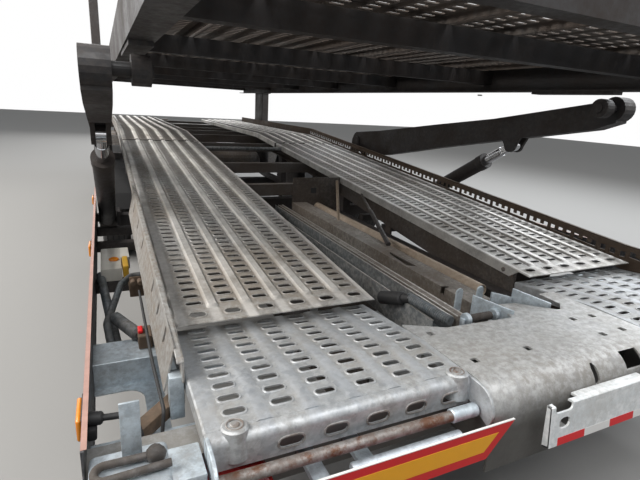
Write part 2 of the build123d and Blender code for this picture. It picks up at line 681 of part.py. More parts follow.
def wheel(name, station):
    """Twin rims with their hub on the right, as one turned piece, and their tyres."""
    hub = (station, TYRE_RADIUS)
    outer = TWIN_OUTER - TYRE_WIDTH / 2
    inner = outer - TWIN_PITCH
    web = (inner + outer) / 2
    seat, flange, well = RIM_WIDTH / 2, RIM_RADIUS + RIM_WALL, RIM_RADIUS - RIM_WALL
    drum_x = AXLE_END + DRUM_GAP
    rim = [(-seat - RIM_LIP, flange), (-seat, RIM_RADIUS), (seat, RIM_RADIUS), (seat + RIM_LIP, flange)]
    outline = [(inner + x, r) for x, r in rim]
    outline += [(inner + seat + RIM_LIP, well), (outer - seat - RIM_LIP, well)]
    outline += [(outer + x, r) for x, r in rim]
    outline += [(outer + seat + RIM_LIP, well), (web + 3 * DISC_HALF, well), (web + DISC_HALF, well - 40),
                (web + DISC_HALF, HUB_RADIUS), (web + HUB_LENGTH, HUB_RADIUS - 25),
                (web + HUB_LENGTH, STUB_RADIUS / 2), (drum_x, STUB_RADIUS / 2),
                (drum_x, DRUM_RADIUS), (drum_x + DRUM_LENGTH, DRUM_RADIUS),
                (web - DISC_HALF, HUB_RADIUS + 30), (web - DISC_HALF, well - 40), (web - 3 * DISC_HALF, well),
                (inner - seat - RIM_LIP, well)]
    rims = turned(hub, outline, WHEEL_SIDES, hollow=True)
    rims += disc(hub, (STUB_END + 4, web + HUB_LENGTH + 14), HUB_RADIUS - 30)
    rims -= pin(hub, (drum_x - 1, STUB_END + 4), STUB_RADIUS + RUNNING)
    save_pair(f"wheel_{name}", rims)

    half = TYRE_WIDTH / 2
    bead = seat - 0.5
    section = [(-bead, RIM_RADIUS + SEAT), (-half, RIM_RADIUS + 55), (-half + 3, TYRE_RADIUS - 40),
               (-half + 28, TYRE_RADIUS)]
    section += [(-x, r) for x, r in reversed(section)]
    tyres = [turned(hub, [(middle + x, r) for x, r in section], WHEEL_SIDES, hollow=True)
             for middle in (inner, outer)]
    save(f"tyres_{name}_right", *tyres)
    save(f"tyres_{name}_left", *[mirrored(t) for t in tyres])


def axle(name, station):
    half = AXLE_BEAM / 2
    hub = (station, TYRE_RADIUS)
    beam = block((-AXLE_END, AXLE_END), around(station, AXLE_BEAM), (TYRE_RADIUS - half, TYRE_RADIUS + half))
    for side in (-1, 1):
        beam += disc(hub, (side * (AXLE_END - BACKPLATE_SHEET), side * AXLE_END), DRUM_RADIUS - 15)
        beam += pin(hub, (side * (AXLE_END - 5), side * STUB_END), STUB_RADIUS)
    save(f"axle_{name}", beam)


def suspension():
    """Trailing arms over the axles, with hangers and air springs, all on the right."""
    solids = []
    low = TYRE_RADIUS + AXLE_BEAM / 2 + SEAT
    x = around(BEAM_X, TRAILING_WIDTH)
    for station in AXLE_STATIONS.values():
        hanger, bag = station - HANGER_REACH, station + SPRING_REACH
        bracket = plate([(hanger - 60, beam_underside(hanger - 60)), (hanger - 35, low - 20),
                         (hanger + 35, low - 20), (hanger + 60, beam_underside(hanger + 60))], x)
        seat_z = low + 36
        near, far, end = station - 120, station + 120, bag + 80
        line = [(s, low + TRAILING_DEPTH) for s in (hanger, near, far)] + [(end, seat_z)]
        arm = plate(line + [(end, low + 20), (far, low), (hanger, low)], x)
        spring_top = beam_underside(bag - SPRING_RADIUS)
        spring = Pos(BEAM_X, y_of(bag), seat_z - 1) * RegularPolygon(SPRING_RADIUS, SMALL_SIDES)
        solids.append(bracket + arm + extrude(spring, amount=spring_top - seat_z + 1))
    save("suspension", *solids, *[mirrored(s) for s in solids])


def guard_line(station, radius):
    """Bent line of a mudguard from front to back, as (station, height) points."""
    step = math.radians((180 - 2 * GUARD_END_ANGLE) / GUARD_FLATS)
    reach = radius / math.cos(step / 2)
    angles = [math.radians(GUARD_END_ANGLE) + step * k for k in range(GUARD_FLATS + 1)]
    return [(station + reach * math.cos(a), TYRE_RADIUS + reach * math.sin(a)) for a in angles]


def height_on(line, station):
    """Height of a line of points at a station."""
    for (s0, z0), (s1, z1) in zip(line, line[1:]):
        if min(s0, s1) <= station <= max(s0, s1):
            return z0 + (z1 - z0) * (station - s0) / (s1 - s0)


def mudguards():
    """Bent sheets over both twin wheels of the right side, hung on pads."""
    guards = []
    for name, station in AXLE_STATIONS.items():
        inside = guard_line(station, GUARD_RADIUS)
        outside = guard_line(station, GUARD_RADIUS + GUARD_SHEET)
        guard = plate(outside + inside[::-1], (GUARD_INNER, GUARD_OUTER))
        if name == "rear":
            pad_top, middle, pad_x = outrigger_z()[0] - SEAT, ARM_PIVOT[0], (KERB_X + 20, KERB_X + 120)
        else:
            pad_top, middle = cross_top(station) - CROSS_DEPTH - SEAT, station
            pad_x = (GUARD_INNER + 40, GUARD_INNER + 140)
        stations = (middle - GUARD_PAD, middle + GUARD_PAD)
        low = min(height_on(inside, s) for s in stations) + 1
        guards.append(guard + block(pad_x, stations, (low, pad_top)))
    save("mudguards", *guards, *[mirrored(g) for g in guards])


def outrigger_z():
    """Lower and upper face of the outrigger under the lift arm's pivot, clear of the kerb."""
    top = deck_top(ARM_PIVOT[0] - 60) - KERB_DROP - MOVING_GAP
    return top - OUTRIGGER_DEPTH, top


def arm_brackets():
    """Outrigger and ears that hold a lift arm's pivot pin."""
    s, z = ARM_PIVOT
    low, top = outrigger_z()
    clear = ARM_WIDTH / 2 + MOVING_GAP
    inner_sheet, outer_sheet = ARM_EAR_SHEETS
    inner = (ARM_X - clear - inner_sheet, ARM_X - clear)
    outer = (ARM_X + clear, ARM_X + clear + outer_sheet)
    r = ARM_EAR_RADIUS
    body = block((BEAM_X + BEAM_WEB / 2 + SEAT, outer[1]), (s - r, s + r), (low, top))
    for x in (inner, outer):
        body += plate([(s - r, top - 1), (s + r, top - 1), (s + r, z), (s - r, z)], x) + disc((s, z), x, r)
    body += pin((s, z), (inner[1] - 1, outer[0] + 1), ARM_PIN_RADIUS)
    save("arm_brackets", body, mirrored(body))


def lift_arms():
    s0, z0 = ARM_PIVOT
    x = around(ARM_X, ARM_WIDTH)
    outline = [(270, 1391), (507, 1352), (1089, 1258), (1695, 1185), (2475, 1085), (s0, z0 + ARM_BOSS),
               (s0, z0 - ARM_BOSS), (2400, 868), (2018, 939), (1658, 1010), (380, 1234), (270, 1275)]
    arm = plate(outline, x) + disc(ARM_PIVOT, x, ARM_BOSS) + disc(ROLLER, x, ROLLER_BOSS)
    # Fork under the arm for the rod's eye
    eye_s, eye_z = ROD_EYE
    slot_half = ROD_EYE_WIDTH / 2 + FORK_GAP
    fork_x = around(ARM_X, 2 * (slot_half + FORK_SHEET))
    fork = [(eye_s - 95, 1190), (eye_s + 95, 1170), (eye_s + 40, eye_z - 15), (eye_s - 40, eye_z - 15)]
    arm += plate(fork, fork_x)
    arm += disc(ROD_EYE, fork_x, ROD_EYE_RADIUS + 6)
    roof = eye_z + ROD_EYE_ROOM
    room = [(eye_s - 105, eye_z - 103), (eye_s + 130, eye_z - 103), (eye_s + 80, roof), (eye_s - 80, roof)]
    arm -= plate(room, around(ARM_X, 2 * slot_half))
    arm -= pin(ARM_PIVOT, (x[0] - 1, x[1] + 1), ARM_PIN_RADIUS + RUNNING)
    # Roller that carries the upper deck's side beam
    roller_x = around(sum(UPPER_BEAM_X) / 2, ROLLER_WIDTH)
    arm += disc(ROLLER, (roller_x[0] - 8, x[0] + 1), ROLLER_PIN) + disc(ROLLER, roller_x, ROLLER_RADIUS)
    save_pair("lift_arm", arm)


def cylinder_axis():
    """Unit vector from the base pin to the rod's eye, as (station, height), and their distance."""
    run, rise = ROD_EYE[0] - CYLINDER_BASE[0], ROD_EYE[1] - CYLINDER_BASE[1]
    length = math.hypot(run, rise)
    return run / length, rise / length, length


def along(distance):
    """Point on a cylinder's axis, measured from its base pin."""
    ds, dz, _ = cylinder_axis()
    return ARM_X, y_of(CYLINDER_BASE[0] + ds * distance), CYLINDER_BASE[1] + dz * distance


def cylinders():
    length = cylinder_axis()[2]
    barrel = rod(along(BARREL_START), along(BARREL_MOUTH), BARREL_RADIUS)
    barrel += rod(along(BARREL_MOUTH - 60), along(BARREL_MOUTH), BARREL_RADIUS + 4)
    barrel -= rod(along(BARREL_BOTTOM), along(BARREL_MOUTH + 1), ROD_RADIUS + RUNNING)
    boss = (ARM_X - BARREL_RADIUS, ARM_X + BARREL_RADIUS)
    barrel += pin(CYLINDER_BASE, boss, BARREL_RADIUS + 6)
    barrel -= pin(CYLINDER_BASE, (boss[0] - 1, boss[1] + 1), BASE_PIN_RADIUS + RUNNING)
    save_pair("lift_barrel", barrel)
    eye_x = around(ARM_X, ROD_EYE_WIDTH)
    neck = length - ROD_NECK
    piston = rod(along(BARREL_BOTTOM + 30), along(neck), ROD_RADIUS) + pin(ROD_EYE, eye_x, ROD_EYE_RADIUS)
    near_eye = block(eye_x, around(ROD_EYE[0], 3 * ROD_NECK), around(ROD_EYE[1], 3 * ROD_NECK))
    piston += rod(along(neck - 1), along(length - 20), ROD_RADIUS - 2) & near_eye
    piston -= pin(ROD_EYE, (eye_x[0] - 1, eye_x[1] + 1), ROD_EYE_BORE)
    save_pair("lift_rod", piston)

    # Bracket that holds the base pin
    s, z = CYLINDER_BASE
    inner = boss[0] - MOVING_GAP
    ear_sheet = 22
    bracket = block(around(BEAM_X, BEAM_WIDTH - 6), (s - 60, s + 60), (z - 40, beam_underside(s - 60)))
    bracket += block((BEAM_X, inner - ear_sheet + 2), (s - 40, s + 40), (z - 40, z + 40))
    bracket += block((inner - ear_sheet, inner), (s - 70, s + 70), (z - 70, z + 70))
    bracket += pin(CYLINDER_BASE, (inner - 5, boss[1] + 4), BASE_PIN_RADIUS)
    save("cylinder_brackets", bracket, mirrored(bracket))


def drawbar():
    under = cross_top(POST_STATION) - CROSS_DEPTH - SEAT
    upper_bend, lower_bend = DRAWBAR_KNEE - 850, DRAWBAR_KNEE - 1000
    outline = [(DRAWBAR_REAR, under), (upper_bend, under),
               (DRAWBAR_KNEE, DRAWBAR_TOP), (DRAWBAR_FRONT, DRAWBAR_TOP),
               (DRAWBAR_FRONT, DRAWBAR_BOTTOM), (DRAWBAR_KNEE - 100, DRAWBAR_BOTTOM - 10),
               (lower_bend, DRAWBAR_TOP - 10), (DRAWBAR_REAR, DRAWBAR_ROOT)]
    half = DRAWBAR_WIDTH / 2
    save("drawbar", plate(outline, (-half, half)))
    front = DRAWBAR_FRONT + SEAT
    eye_s = OVERALL_LENGTH - REAR_OVERHANG - EYE_RADIUS
    shank = block(around(0, EYE_SHANK[0]), (front, eye_s), around(EYE_Z, EYE_SHANK[1]))
    width, thickness, height = EYE_FLANGE
    flange = block(around(0, width), (front, front + thickness), around(EYE_Z, height))
    ring = Pos(0, y_of(eye_s), EYE_Z) * Cylinder(EYE_RADIUS, EYE_HEIGHT)
    bore = Pos(0, y_of(eye_s), EYE_Z) * Cylinder(EYE_BORE, EYE_HEIGHT + 2)
    save("towing_eye", shank + flange + ring - bore)


def jack():
    s = JACK_STATION
    tube = block(around(JACK_X, JACK_TUBE), around(s, JACK_TUBE), (JACK_SPLIT, JACK_TOP))
    leg = block(around(JACK_X, JACK_INNER), around(s, JACK_INNER), (JACK_FOOT_SHEET, JACK_SPLIT + 1))
    foot = block(around(JACK_X, JACK_FOOT), around(s, JACK_FOOT), (0, JACK_FOOT_SHEET))
    foot = chamfer(foot.edges().filter_by(Axis.Z), JACK_FOOT / 5)
    clamp_z = (DRAWBAR_BOTTOM + 10, DRAWBAR_TOP - 10)
    clamp = block((JACK_X, -DRAWBAR_WIDTH / 2 - SEAT), (s - 60, s + 60), clamp_z)
    shaft_z = JACK_TOP - 60
    arm_x = (JACK_X - 150, JACK_X - 130)
    crank = pin((s, shaft_z), (arm_x[0], JACK_X), CRANK_RADIUS)
    crank += block(arm_x, (s - CRANK_RADIUS, s + CRANK_RADIUS), (shaft_z - CRANK_ARM, shaft_z + CRANK_RADIUS))
    grip = disc((s, shaft_z - CRANK_ARM + 10), (arm_x[0] - 100, arm_x[0] + 1), CRANK_RADIUS + 3)
    save("jack_leg", tube + leg + foot + clamp + crank + grip)


def housings():
    """Closed housings under the front runways, hung from the chassis beams, and the air tank."""
    inner = BEAM_X + BEAM_WIDTH / 2 + SEAT
    for node, stations in HOUSINGS.items():
        case = block((inner, HOUSING_OUTER), stations, HOUSING_Z)
        case = chamfer(case.edges().filter_by(Axis.Y), HOUSING_CHAMFER)
        save(node, case if node == "toolbox" else mirrored(case))
    half, r = TANK_LENGTH / 2, TANK_RADIUS
    rounded = [(half - 45, r), (half - 18, r * 0.85), (half, r * 0.55)]
    outline = [(-x, size) for x, size in reversed(rounded)] + rounded
    tank = turned(TANK_POINT, outline, SMALL_SIDES, hollow=False)
    s, z = TANK_POINT
    hanger_low = z + 160
    for side in (-1, 1):
        tank += block([side * x for x in TANK_STRAP_X], (s - 50, s + 50), (z + 100, hanger_low + 12))
    reach = BEAM_X - BEAM_WEB / 2 - SEAT
    save("air_tank", tank + block((-reach, reach), (s - 30, s + 30), (hanger_low, hanger_low + 40)))


def posts():
    half = POST_LENGTH / 2
    post = block(POST_X, around(POST_STATION, POST_LENGTH), (POST_BOTTOM, POST_TOP))
    save_pair("front_post", chamfer(post.edges().filter_by(Axis.Z), 10))

    # Carriage that slides on the post and carries the upper deck
    gap = MOVING_GAP
    outer_x = (UPPER_BEAM_X[1] + SEAT, POST_X[1] + gap + CARRIAGE_WALL)
    wall = half + gap + CARRIAGE_END
    z = (UPPER_BOTTOM, UPPER_BOTTOM + CARRIAGE_HEIGHT)
    ring = block(outer_x, (POST_STATION - wall, POST_STATION + wall), z)
    room = around(POST_STATION, POST_LENGTH + 2 * gap)
    ring -= block((POST_X[0] - gap, POST_X[1] + gap), room, (z[0] - 1, z[1] + 1))
    # Slide pads on the faces that run along the post
    for face in (-1, 1):
        face_s = (POST_STATION + face * (half + RUNNING), POST_STATION + face * (half + gap + 1))
        ring += block((POST_X[0] + 20, POST_X[1] - 20), face_s, (z[0] + PAD_MARGIN, z[1] - PAD_MARGIN))
    save("upper_carriages", ring, mirrored(ring))


def plank(inner, outer, top):
    """Fluted plank of the upper deck, from one x to another."""
    count = max(1, round((outer - inner) / SLOT_PITCH) - 1)
    step = (outer - inner) / (count + 1)
    ridges = [inner + step * (k + 1) for k in range(count)]
    section = fluted_section(inner, outer, ridges, RIDGE_HEIGHT, PLANK_FLANGE)
    return fluted_run(section, UPPER_REAR, UPPER_FRONT, top, top)


def upper_deck():
    top = UPPER_BOTTOM + UPPER_DEPTH
    low_x, high_x = UPPER_BEAM_X
    w = UPPER_WALL
    channel = [(low_x, UPPER_BOTTOM), (high_x, UPPER_BOTTOM), (high_x, top), (low_x, top), (low_x, top - w),
               (high_x - w, top - w), (high_x - w, UPPER_BOTTOM + w), (low_x, UPPER_BOTTOM + w)]
    face = polygon([(x, y_of(UPPER_REAR), z) for x, z in channel])
    side = extrude(face, amount=UPPER_FRONT - UPPER_REAR, dir=(0, 1, 0))
    # Wear pad over the roller's path
    behind, ahead = WEAR_PAD_RUN
    side += block((low_x + 5, high_x - 5), (ROLLER[0] - behind, ROLLER[0] + ahead),
                  (ROLLER[1] + ROLLER_RADIUS + ROLLER_GAP, UPPER_BOTTOM + 1))
    frame = side + mirrored(side)
    cross_high = top - PLANK_FLANGE - SEAT
    reach = high_x - w + 1
    cross_z = (cross_high - UPPER_CROSS_DEPTH, cross_high)
    for s in UPPER_CROSS:
        frame += block((-reach, reach), around(s, UPPER_CROSS_WIDTH), cross_z)
    save("upper_deck_frame", frame)

    centre, middle = PLANK_EDGES
    sides = [plank(centre + PLANK_GAP, middle, top), plank(middle + PLANK_GAP, low_x - SEAT, top)]
    save("upper_planks", plank(-centre, centre, top), *sides, *[mirrored(p) for p in sides])


def rear_end():
    """What stands behind the rear beam: boards, lamps, corner boxes and the underrun guard."""
    back = -REAR_OVERHANG
    beam_face = REAR_BEAM[0] - SEAT
    tip = BOARD_INNER + BOARD_Z[1] - BOARD_Z[0]
    far = BOARD_INNER + BOARD_LENGTH
    outline = [(BOARD_INNER, BOARD_Z[1]), (far, BOARD_Z[1]), (far, BOARD_Z[0]), (tip, BOARD_Z[0])]
    board = extrude(polygon([(x, y_of(back), z) for x, z in outline]), amount=BOARD_SHEET, dir=(0, 1, 0))
    for x in BOARD_ARMS:
        board += block(around(x, 40), (back + BOARD_SHEET - 1, beam_face), BOARD_ARM_Z)
    tube = (BOARD_TUBE_STATION, BOARD_ARM_Z[1] + BOARD_TUBE_RADIUS - 2)
    board += pin(tube, BOARD_TUBE_X, BOARD_TUBE_RADIUS)
    save("marking_boards", board, mirrored(board))
    lamp = block(LAMP_X, (LAMP_REAR, beam_face), LAMP_Z)
    lamp = chamfer(lamp.edges().filter_by(Axis.Y), 12)
    save("rear_lamps", lamp, mirrored(lamp))

    # Corner box on the beam's end with its upright plate
    seat = REAR_BEAM_Z[1] + SEAT
    corner = block(CORNER_X, CORNER_STATIONS, (seat, CORNER_TOP))
    corner += block(CORNER_PLATE_X, (-505, -500), (CORNER_TOP - 1, CORNER_PLATE_TOP))
    save("corner_boxes", corner, mirrored(corner))

    # Folded bar of the underrun guard on the right, on feet from the cover
    bar = plate(GUARD_BAR, GUARD_BAR_X)
    end_x = (GUARD_BAR_X[0], GUARD_BAR_X[0] + GUARD_END_SHEET)
    bar += plate([GUARD_BAR[0], GUARD_BAR[1], GUARD_BAR[2], GUARD_BAR[3]], end_x)
    for x in GUARD_BAR_FEET:
        bar += block(around(x, 40), (COVER_REAR - SEAT, GUARD_BAR[2][0] + 5), GUARD_FOOT_Z)
    save("underrun_guard", bar)


def make_all():
    os.makedirs("parts", exist_ok=True)
    runways()
    chassis()
    centre_members()
    rear_crossbeam()
    kerbs()
    skirts()
    for name, station in AXLE_STATIONS.items():
        wheel(name, station)
        axle(name, station)
    suspension()
    mudguards()
    arm_brackets()
    lift_arms()
    cylinders()
    drawbar()
    jack()
    housings()
    posts()
    upper_deck()
    rear_end()


make_all()
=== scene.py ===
"""Looks of a parked two-deck car transporter trailer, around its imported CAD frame.

Metres. X points right, Y forward and Z up. A station is a distance forward of the knee,
the rear edge of the sloped runways. Shapes are placed by points (x, station, height).
"""
import json
import math

import bmesh
import bpy
from mathutils import Matrix, Vector

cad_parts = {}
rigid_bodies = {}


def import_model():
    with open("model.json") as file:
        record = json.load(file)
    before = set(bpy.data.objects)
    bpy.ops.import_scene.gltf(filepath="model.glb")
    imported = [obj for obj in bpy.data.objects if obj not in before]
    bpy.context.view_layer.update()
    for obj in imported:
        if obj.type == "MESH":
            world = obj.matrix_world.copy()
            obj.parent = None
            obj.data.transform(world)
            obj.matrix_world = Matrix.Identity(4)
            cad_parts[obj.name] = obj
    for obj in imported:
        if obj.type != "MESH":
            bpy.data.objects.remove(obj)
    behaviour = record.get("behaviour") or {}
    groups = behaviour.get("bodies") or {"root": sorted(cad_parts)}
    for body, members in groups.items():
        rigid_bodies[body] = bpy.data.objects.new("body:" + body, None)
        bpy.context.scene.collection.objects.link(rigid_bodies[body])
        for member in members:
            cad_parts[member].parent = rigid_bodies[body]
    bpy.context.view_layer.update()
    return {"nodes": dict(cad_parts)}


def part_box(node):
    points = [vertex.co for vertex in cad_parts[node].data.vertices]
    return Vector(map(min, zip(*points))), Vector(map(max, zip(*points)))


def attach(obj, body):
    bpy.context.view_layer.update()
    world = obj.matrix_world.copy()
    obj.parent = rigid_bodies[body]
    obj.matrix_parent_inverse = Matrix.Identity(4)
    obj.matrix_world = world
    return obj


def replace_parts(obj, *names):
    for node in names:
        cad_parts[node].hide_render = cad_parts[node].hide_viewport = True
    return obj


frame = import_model()
nodes = frame["nodes"]

# Places taken from the frame
SLOPE_START = -0.028
KNEE_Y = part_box("runway_slope_right")[0].y - SLOPE_START
RUNWAY_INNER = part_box("runway_slope_right")[0].x
RUNWAY_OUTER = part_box("runway_slope_right")[1].x
REAR_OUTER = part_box("runway_rear_right")[1].x
SKIRT_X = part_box("side_skirt_right")[1].x
KERB_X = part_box("kerb_right")[0].x
KERB_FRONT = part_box("kerb_right")[1].y - KNEE_Y
REAR_BEAM = -0.460
BEAM_SIDE = 0.6303

# Deck line
KNEE_Z = 0.640
SLOPE = math.radians(4.53)
BEND = 3.830
PANEL_JOINT = 3.210
DECK_FRONT = 7.100
REAR_LEVEL = 0.626
REAR_FALL = math.radians(6.3)
REAR_END = -0.485
REAR_FRONT = 0.040

# Axles and wheels
AXLES = (2.800, 4.000)
TYRE_RADIUS = 0.3555
OUTER_WHEEL, INNER_WHEEL, WHEEL_WEB = 1.1475, 0.9125, 1.030

# Slotted sheet
SHEET = 0.004
ROW_PITCH = 0.050
COLUMN_PITCH = 0.108
COLUMNS = 6
FIRST_COLUMN = RUNWAY_INNER + 0.0566
FLANGE = 0.045
# First column, pitch of the columns, inner and outer edge and depth of the folds
SLOPE_SHEET = (FIRST_COLUMN, COLUMN_PITCH, RUNWAY_INNER, RUNWAY_OUTER, FLANGE)
REAR_SHEET = (RUNWAY_INNER + 0.0592, 0.1088, RUNWAY_INNER, REAR_OUTER, FLANGE)
VALLEY = 0.068
REAR_RIDGE = 0.003
RIDGE = 0.008
FOLD_BEND = 0.004
PANEL_MARGIN = 0.019
PANEL_GAP = 0.001
SLOT = (0.050, 0.020)
WIDE_SLOT = (0.050, 0.028)
RIM_FLAT = 0.003
RIM_FOOT = 0.0015
RIM_RISE = 0.0024

# Upper sheets: top, rear end, rows, depth of the folds, and each one's columns and edges
PLANK_TOP, PLANK_START, PLANK_ROWS, PLANK_FOLD = 1.577, -0.600, 152, 0.030
PLANKS = {"centre": (3, -0.140, 0.140), "wide": (6, 0.160, 0.780), "edge": (2, 0.800, 1.0397)}

# Centre bay: foot and front end of what lies in it, and the line of its rollers
BAY_SEAT, BAY_FRONT = 0.4703, 1.7137
ROLLER_S, ROLLER_Z = -0.212, 0.606


def y_of(station):
    return station + KNEE_Y


def at(point):
    """Place in the frame of an x, station and height."""
    x, station, height = point
    return Vector((x, y_of(station), height))


def deck_z(station):
    """Upper face of the sloped and level runways."""
    return KNEE_Z + min(station, BEND) * math.tan(SLOPE)


# Modelling tools

def only(*pieces):
    """Make some pieces the whole selection, the first of them active."""
    bpy.ops.object.select_all(action="DESELECT")
    for piece in pieces:
        piece.select_set(True)
    bpy.context.view_layer.objects.active = pieces[0]


def rename(piece, name):
    piece.name = name
    piece.data.name = name
    return piece


def named(name):
    """Name what was made last."""
    return rename(bpy.context.object, name)


def edit(piece):
    only(piece)
    bpy.ops.object.mode_set(mode="EDIT")


def done():
    bpy.ops.object.mode_set(mode="OBJECT")


def choose_all():
    bpy.ops.mesh.select_all(action="SELECT")


def choose(piece, kind, test):
    """Select in edit mode what passes a test."""
    bpy.ops.mesh.select_mode(type=kind)
    bpy.ops.mesh.select_all(action="DESELECT")
    mesh = bmesh.from_edit_mesh(piece.data)
    for item in {"VERT": mesh.verts, "EDGE": mesh.edges}[kind]:
        if test(item):
            item.select_set(True)
    mesh.select_flush_mode()
    bmesh.update_edit_mesh(piece.data)


def choose_edges(piece, axis, value):
    """Select the edges that lie in the plane across an axis at a value."""
    choose(piece, "EDGE", lambda e: all(abs(v.co[axis] - value) < 1e-6 for v in e.verts))


def pull(offset):
    """Extrude the selected faces."""
    bpy.ops.mesh.extrude_region_move(TRANSFORM_OT_translate={"value": offset})


def draw(*offsets):
    """Extrude the selected edges, move by move."""
    for offset in offsets:
        bpy.ops.mesh.extrude_edges_move(TRANSFORM_OT_translate={"value": offset})


def resize(value, centre=(0, 0, 0)):
    bpy.ops.transform.resize(value=value, center_override=centre)


def face_out():
    choose_all()
    bpy.ops.mesh.normals_make_consistent(inside=False)


def modify(piece, kind, **values):
    only(piece)
    bpy.ops.object.modifier_add(type=kind)
    modifier = piece.modifiers[-1]
    for name, value in values.items():
        setattr(modifier, name, value)
    bpy.ops.object.modifier_apply(modifier=modifier.name)
    return piece


def soften(piece, width, segments=2):
    """Bevel the edges, or leave them where the width is zero."""
    if not width:
        return piece
    return modify(piece, "BEVEL", width=width, segments=segments, limit_method="ANGLE",
                  angle_limit=math.radians(40))


def join(name, *pieces):
    only(*pieces)
    bpy.ops.object.join()
    return named(name)


def weld(piece, distance=1e-5):
    edit(piece)
    choose_all()
    bpy.ops.mesh.remove_doubles(threshold=distance)
    done()
    return piece


def settle(piece):
    """Put the piece's place into its mesh."""
    only(piece)
    bpy.ops.object.transform_apply(location=True, rotation=True, scale=True)
    return piece


def moved(piece, offset):
    piece.location = offset
    return settle(piece)


def copy_of(piece, name):
    only(piece)
    bpy.ops.object.duplicate(linked=False)
    return named(name)


def flipped(piece, name):
    """A copy on the other side of the trailer."""
    copy = copy_of(piece, name)
    copy.scale = (-1, 1, 1)
    edit(settle(copy))
    face_out()
    done()
    return copy


def smooth(piece, angle=35):
    only(piece)
    bpy.ops.object.shade_smooth_by_angle(angle=math.radians(angle))
    return piece


def repeat(piece, count, step, merge=False):
    """Copies in a line, welded where they touch if asked."""
    return modify(piece, "ARRAY", count=count, use_relative_offset=False, use_constant_offset=True,
                  constant_offset_displace=step, use_merge_vertices=merge, merge_threshold=1e-5)


def cut(piece, *cutters):
    """Take the shapes of some cutters out of a piece."""
    for cutter in cutters:
        modify(piece, "BOOLEAN", operation="DIFFERENCE", object=cutter, solver="EXACT")
        only(cutter)
        bpy.ops.object.delete()
    return piece


# Basic shapes

def heading(run):
    """Turn that points a shape's own Z along a run."""
    return run.to_track_quat("Z", "Y").to_euler()


def block(name, low, high, edge=0.002, segments=2):
    """Bar between two corners with softened edges."""
    low, high = at(low), at(high)
    bpy.ops.mesh.primitive_cube_add(size=1, location=(low + high) / 2)
    piece = named(name)
    piece.scale = [abs(a) for a in high - low]
    return soften(settle(piece), edge, segments)


def closed_line(name, places, fill):
    """Closed line through some places, open in edit mode and selected."""
    bpy.ops.mesh.primitive_circle_add(vertices=len(places), fill_type=fill)
    piece = named(name)
    edit(piece)
    mesh = bmesh.from_edit_mesh(piece.data)
    for corner, place in zip(mesh.verts, places):
        corner.co = place
    bmesh.update_edit_mesh(piece.data)
    choose_all()
    return piece


def outline(name, points, push, edge=0.0012):
    """Plate whose face is the outline, pushed to its thickness."""
    piece = closed_line(name, [at(p) for p in points], "NGON")
    pull(push)
    face_out()
    done()
    return soften(piece, edge, 1)


def side_plate(name, points, x, edge=0.0012):
    """Plate in a side plane, its outline given as (station, height)."""
    return outline(name, [(x[0], s, z) for s, z in points], (x[1] - x[0], 0, 0), edge)


def along(name, points, start, end, edge=0.001):
    """Bar along the trailer, its section given as (x, height)."""
    return outline(name, [(x, start, z) for x, z in points], (0, end - start, 0), edge)


def turned(name, profile, centre, steps=48):
    """Ring turned about a line along X through a centre, from a closed profile of (x, radius) points."""
    centre = at(centre)
    piece = closed_line(name, [centre + Vector((x, 0, radius)) for x, radius in profile], "NOTHING")
    bpy.ops.mesh.spin(steps=steps, angle=2 * math.pi, center=centre, axis=(1, 0, 0))
    choose_all()
    bpy.ops.mesh.remove_doubles(threshold=1e-5)
    bpy.ops.mesh.normals_make_consistent(inside=False)
    done()
    return smooth(piece)


def pipe(name, points, radius, bend=0.03, sides=16, steps=6):
    """Bent pipe through some points, drawn from a disc by extrude and spin."""
    points = [at(p) for p in points]
    place = points[0]
    bpy.ops.mesh.primitive_circle_add(vertices=sides, radius=radius, fill_type="NGON", location=place,
                                      rotation=heading((points[1] - place).normalized()))
    piece = settle(named(name))
    edit(piece)
    choose_all()
    for here, after in zip(points[1:-1], points[2:]):
        run, leave = (here - place).normalized(), (after - here).normalized()
        angle = run.angle(leave)
        back = bend * math.tan(angle / 2)
        corner = here - run * back
        pull(corner - place)
        axis = run.cross(leave).normalized()
        bpy.ops.mesh.spin(steps=steps, angle=-angle, center=corner + axis.cross(run) * bend, axis=axis)
        place = here + leave * back
    pull(points[-1] - place)
    face_out()
    done()
    return smooth(piece)


def rod(name, start, end, radius, sides=20, edge=0.0015):
    """Round bar between two points with softened ends."""
    start, end = at(start), at(end)
    run = end - start
    bpy.ops.mesh.primitive_cylinder_add(vertices=sides, radius=radius, depth=run.length,
                                        location=(start + end) / 2, rotation=heading(run))
    return smooth(soften(settle(named(name)), edge, 1))


def cross_rod(name, x, station, height, *sizes):
    """Round bar across the trailer, from one x to another."""
    return rod(name, (x[0], station, height), (x[1], station, height), *sizes)


def bar(name, start, end, width, height, edge=0.002):
    """Bar of rectangular section between two points."""
    start, end = at(start), at(end)
    run = end - start
    bpy.ops.mesh.primitive_cube_add(size=1)
    piece = named(name)
    piece.scale = (width, height, run.length)
    piece.rotation_euler = heading(run)
    return soften(moved(piece, (start + end) / 2), edge)


def oblong(length, height, turns=5):
    """Points of a slot with round ends, about its middle."""
    half, radius = (length - height) / 2, height / 2
    angles = [math.pi * k / turns - math.pi / 2 for k in range(turns + 1)]
    right = [(half + radius * math.cos(a), radius * math.sin(a)) for a in angles]
    return right + [(-x, -y) for x, y in right]


def upright_slot(name, x, station, height, size, depth, edge=0):
    """Oblong plug that stands across the trailer and reaches forward from a station."""
    points = [(x + a, station, height + b) for a, b in oblong(*size)]
    return outline(name, points, (0, depth, 0), edge)


def ring(name, centre, radius, wire, turn=(0, 0, 0)):
    bpy.ops.mesh.primitive_torus_add(major_radius=radius, minor_radius=wire, major_segments=28,
                                     minor_segments=10, location=at(centre), rotation=turn)
    return smooth(settle(named(name)))


# Shader tools

WHITE, BLACK = (1, 1, 1, 1), (0, 0, 0, 1)


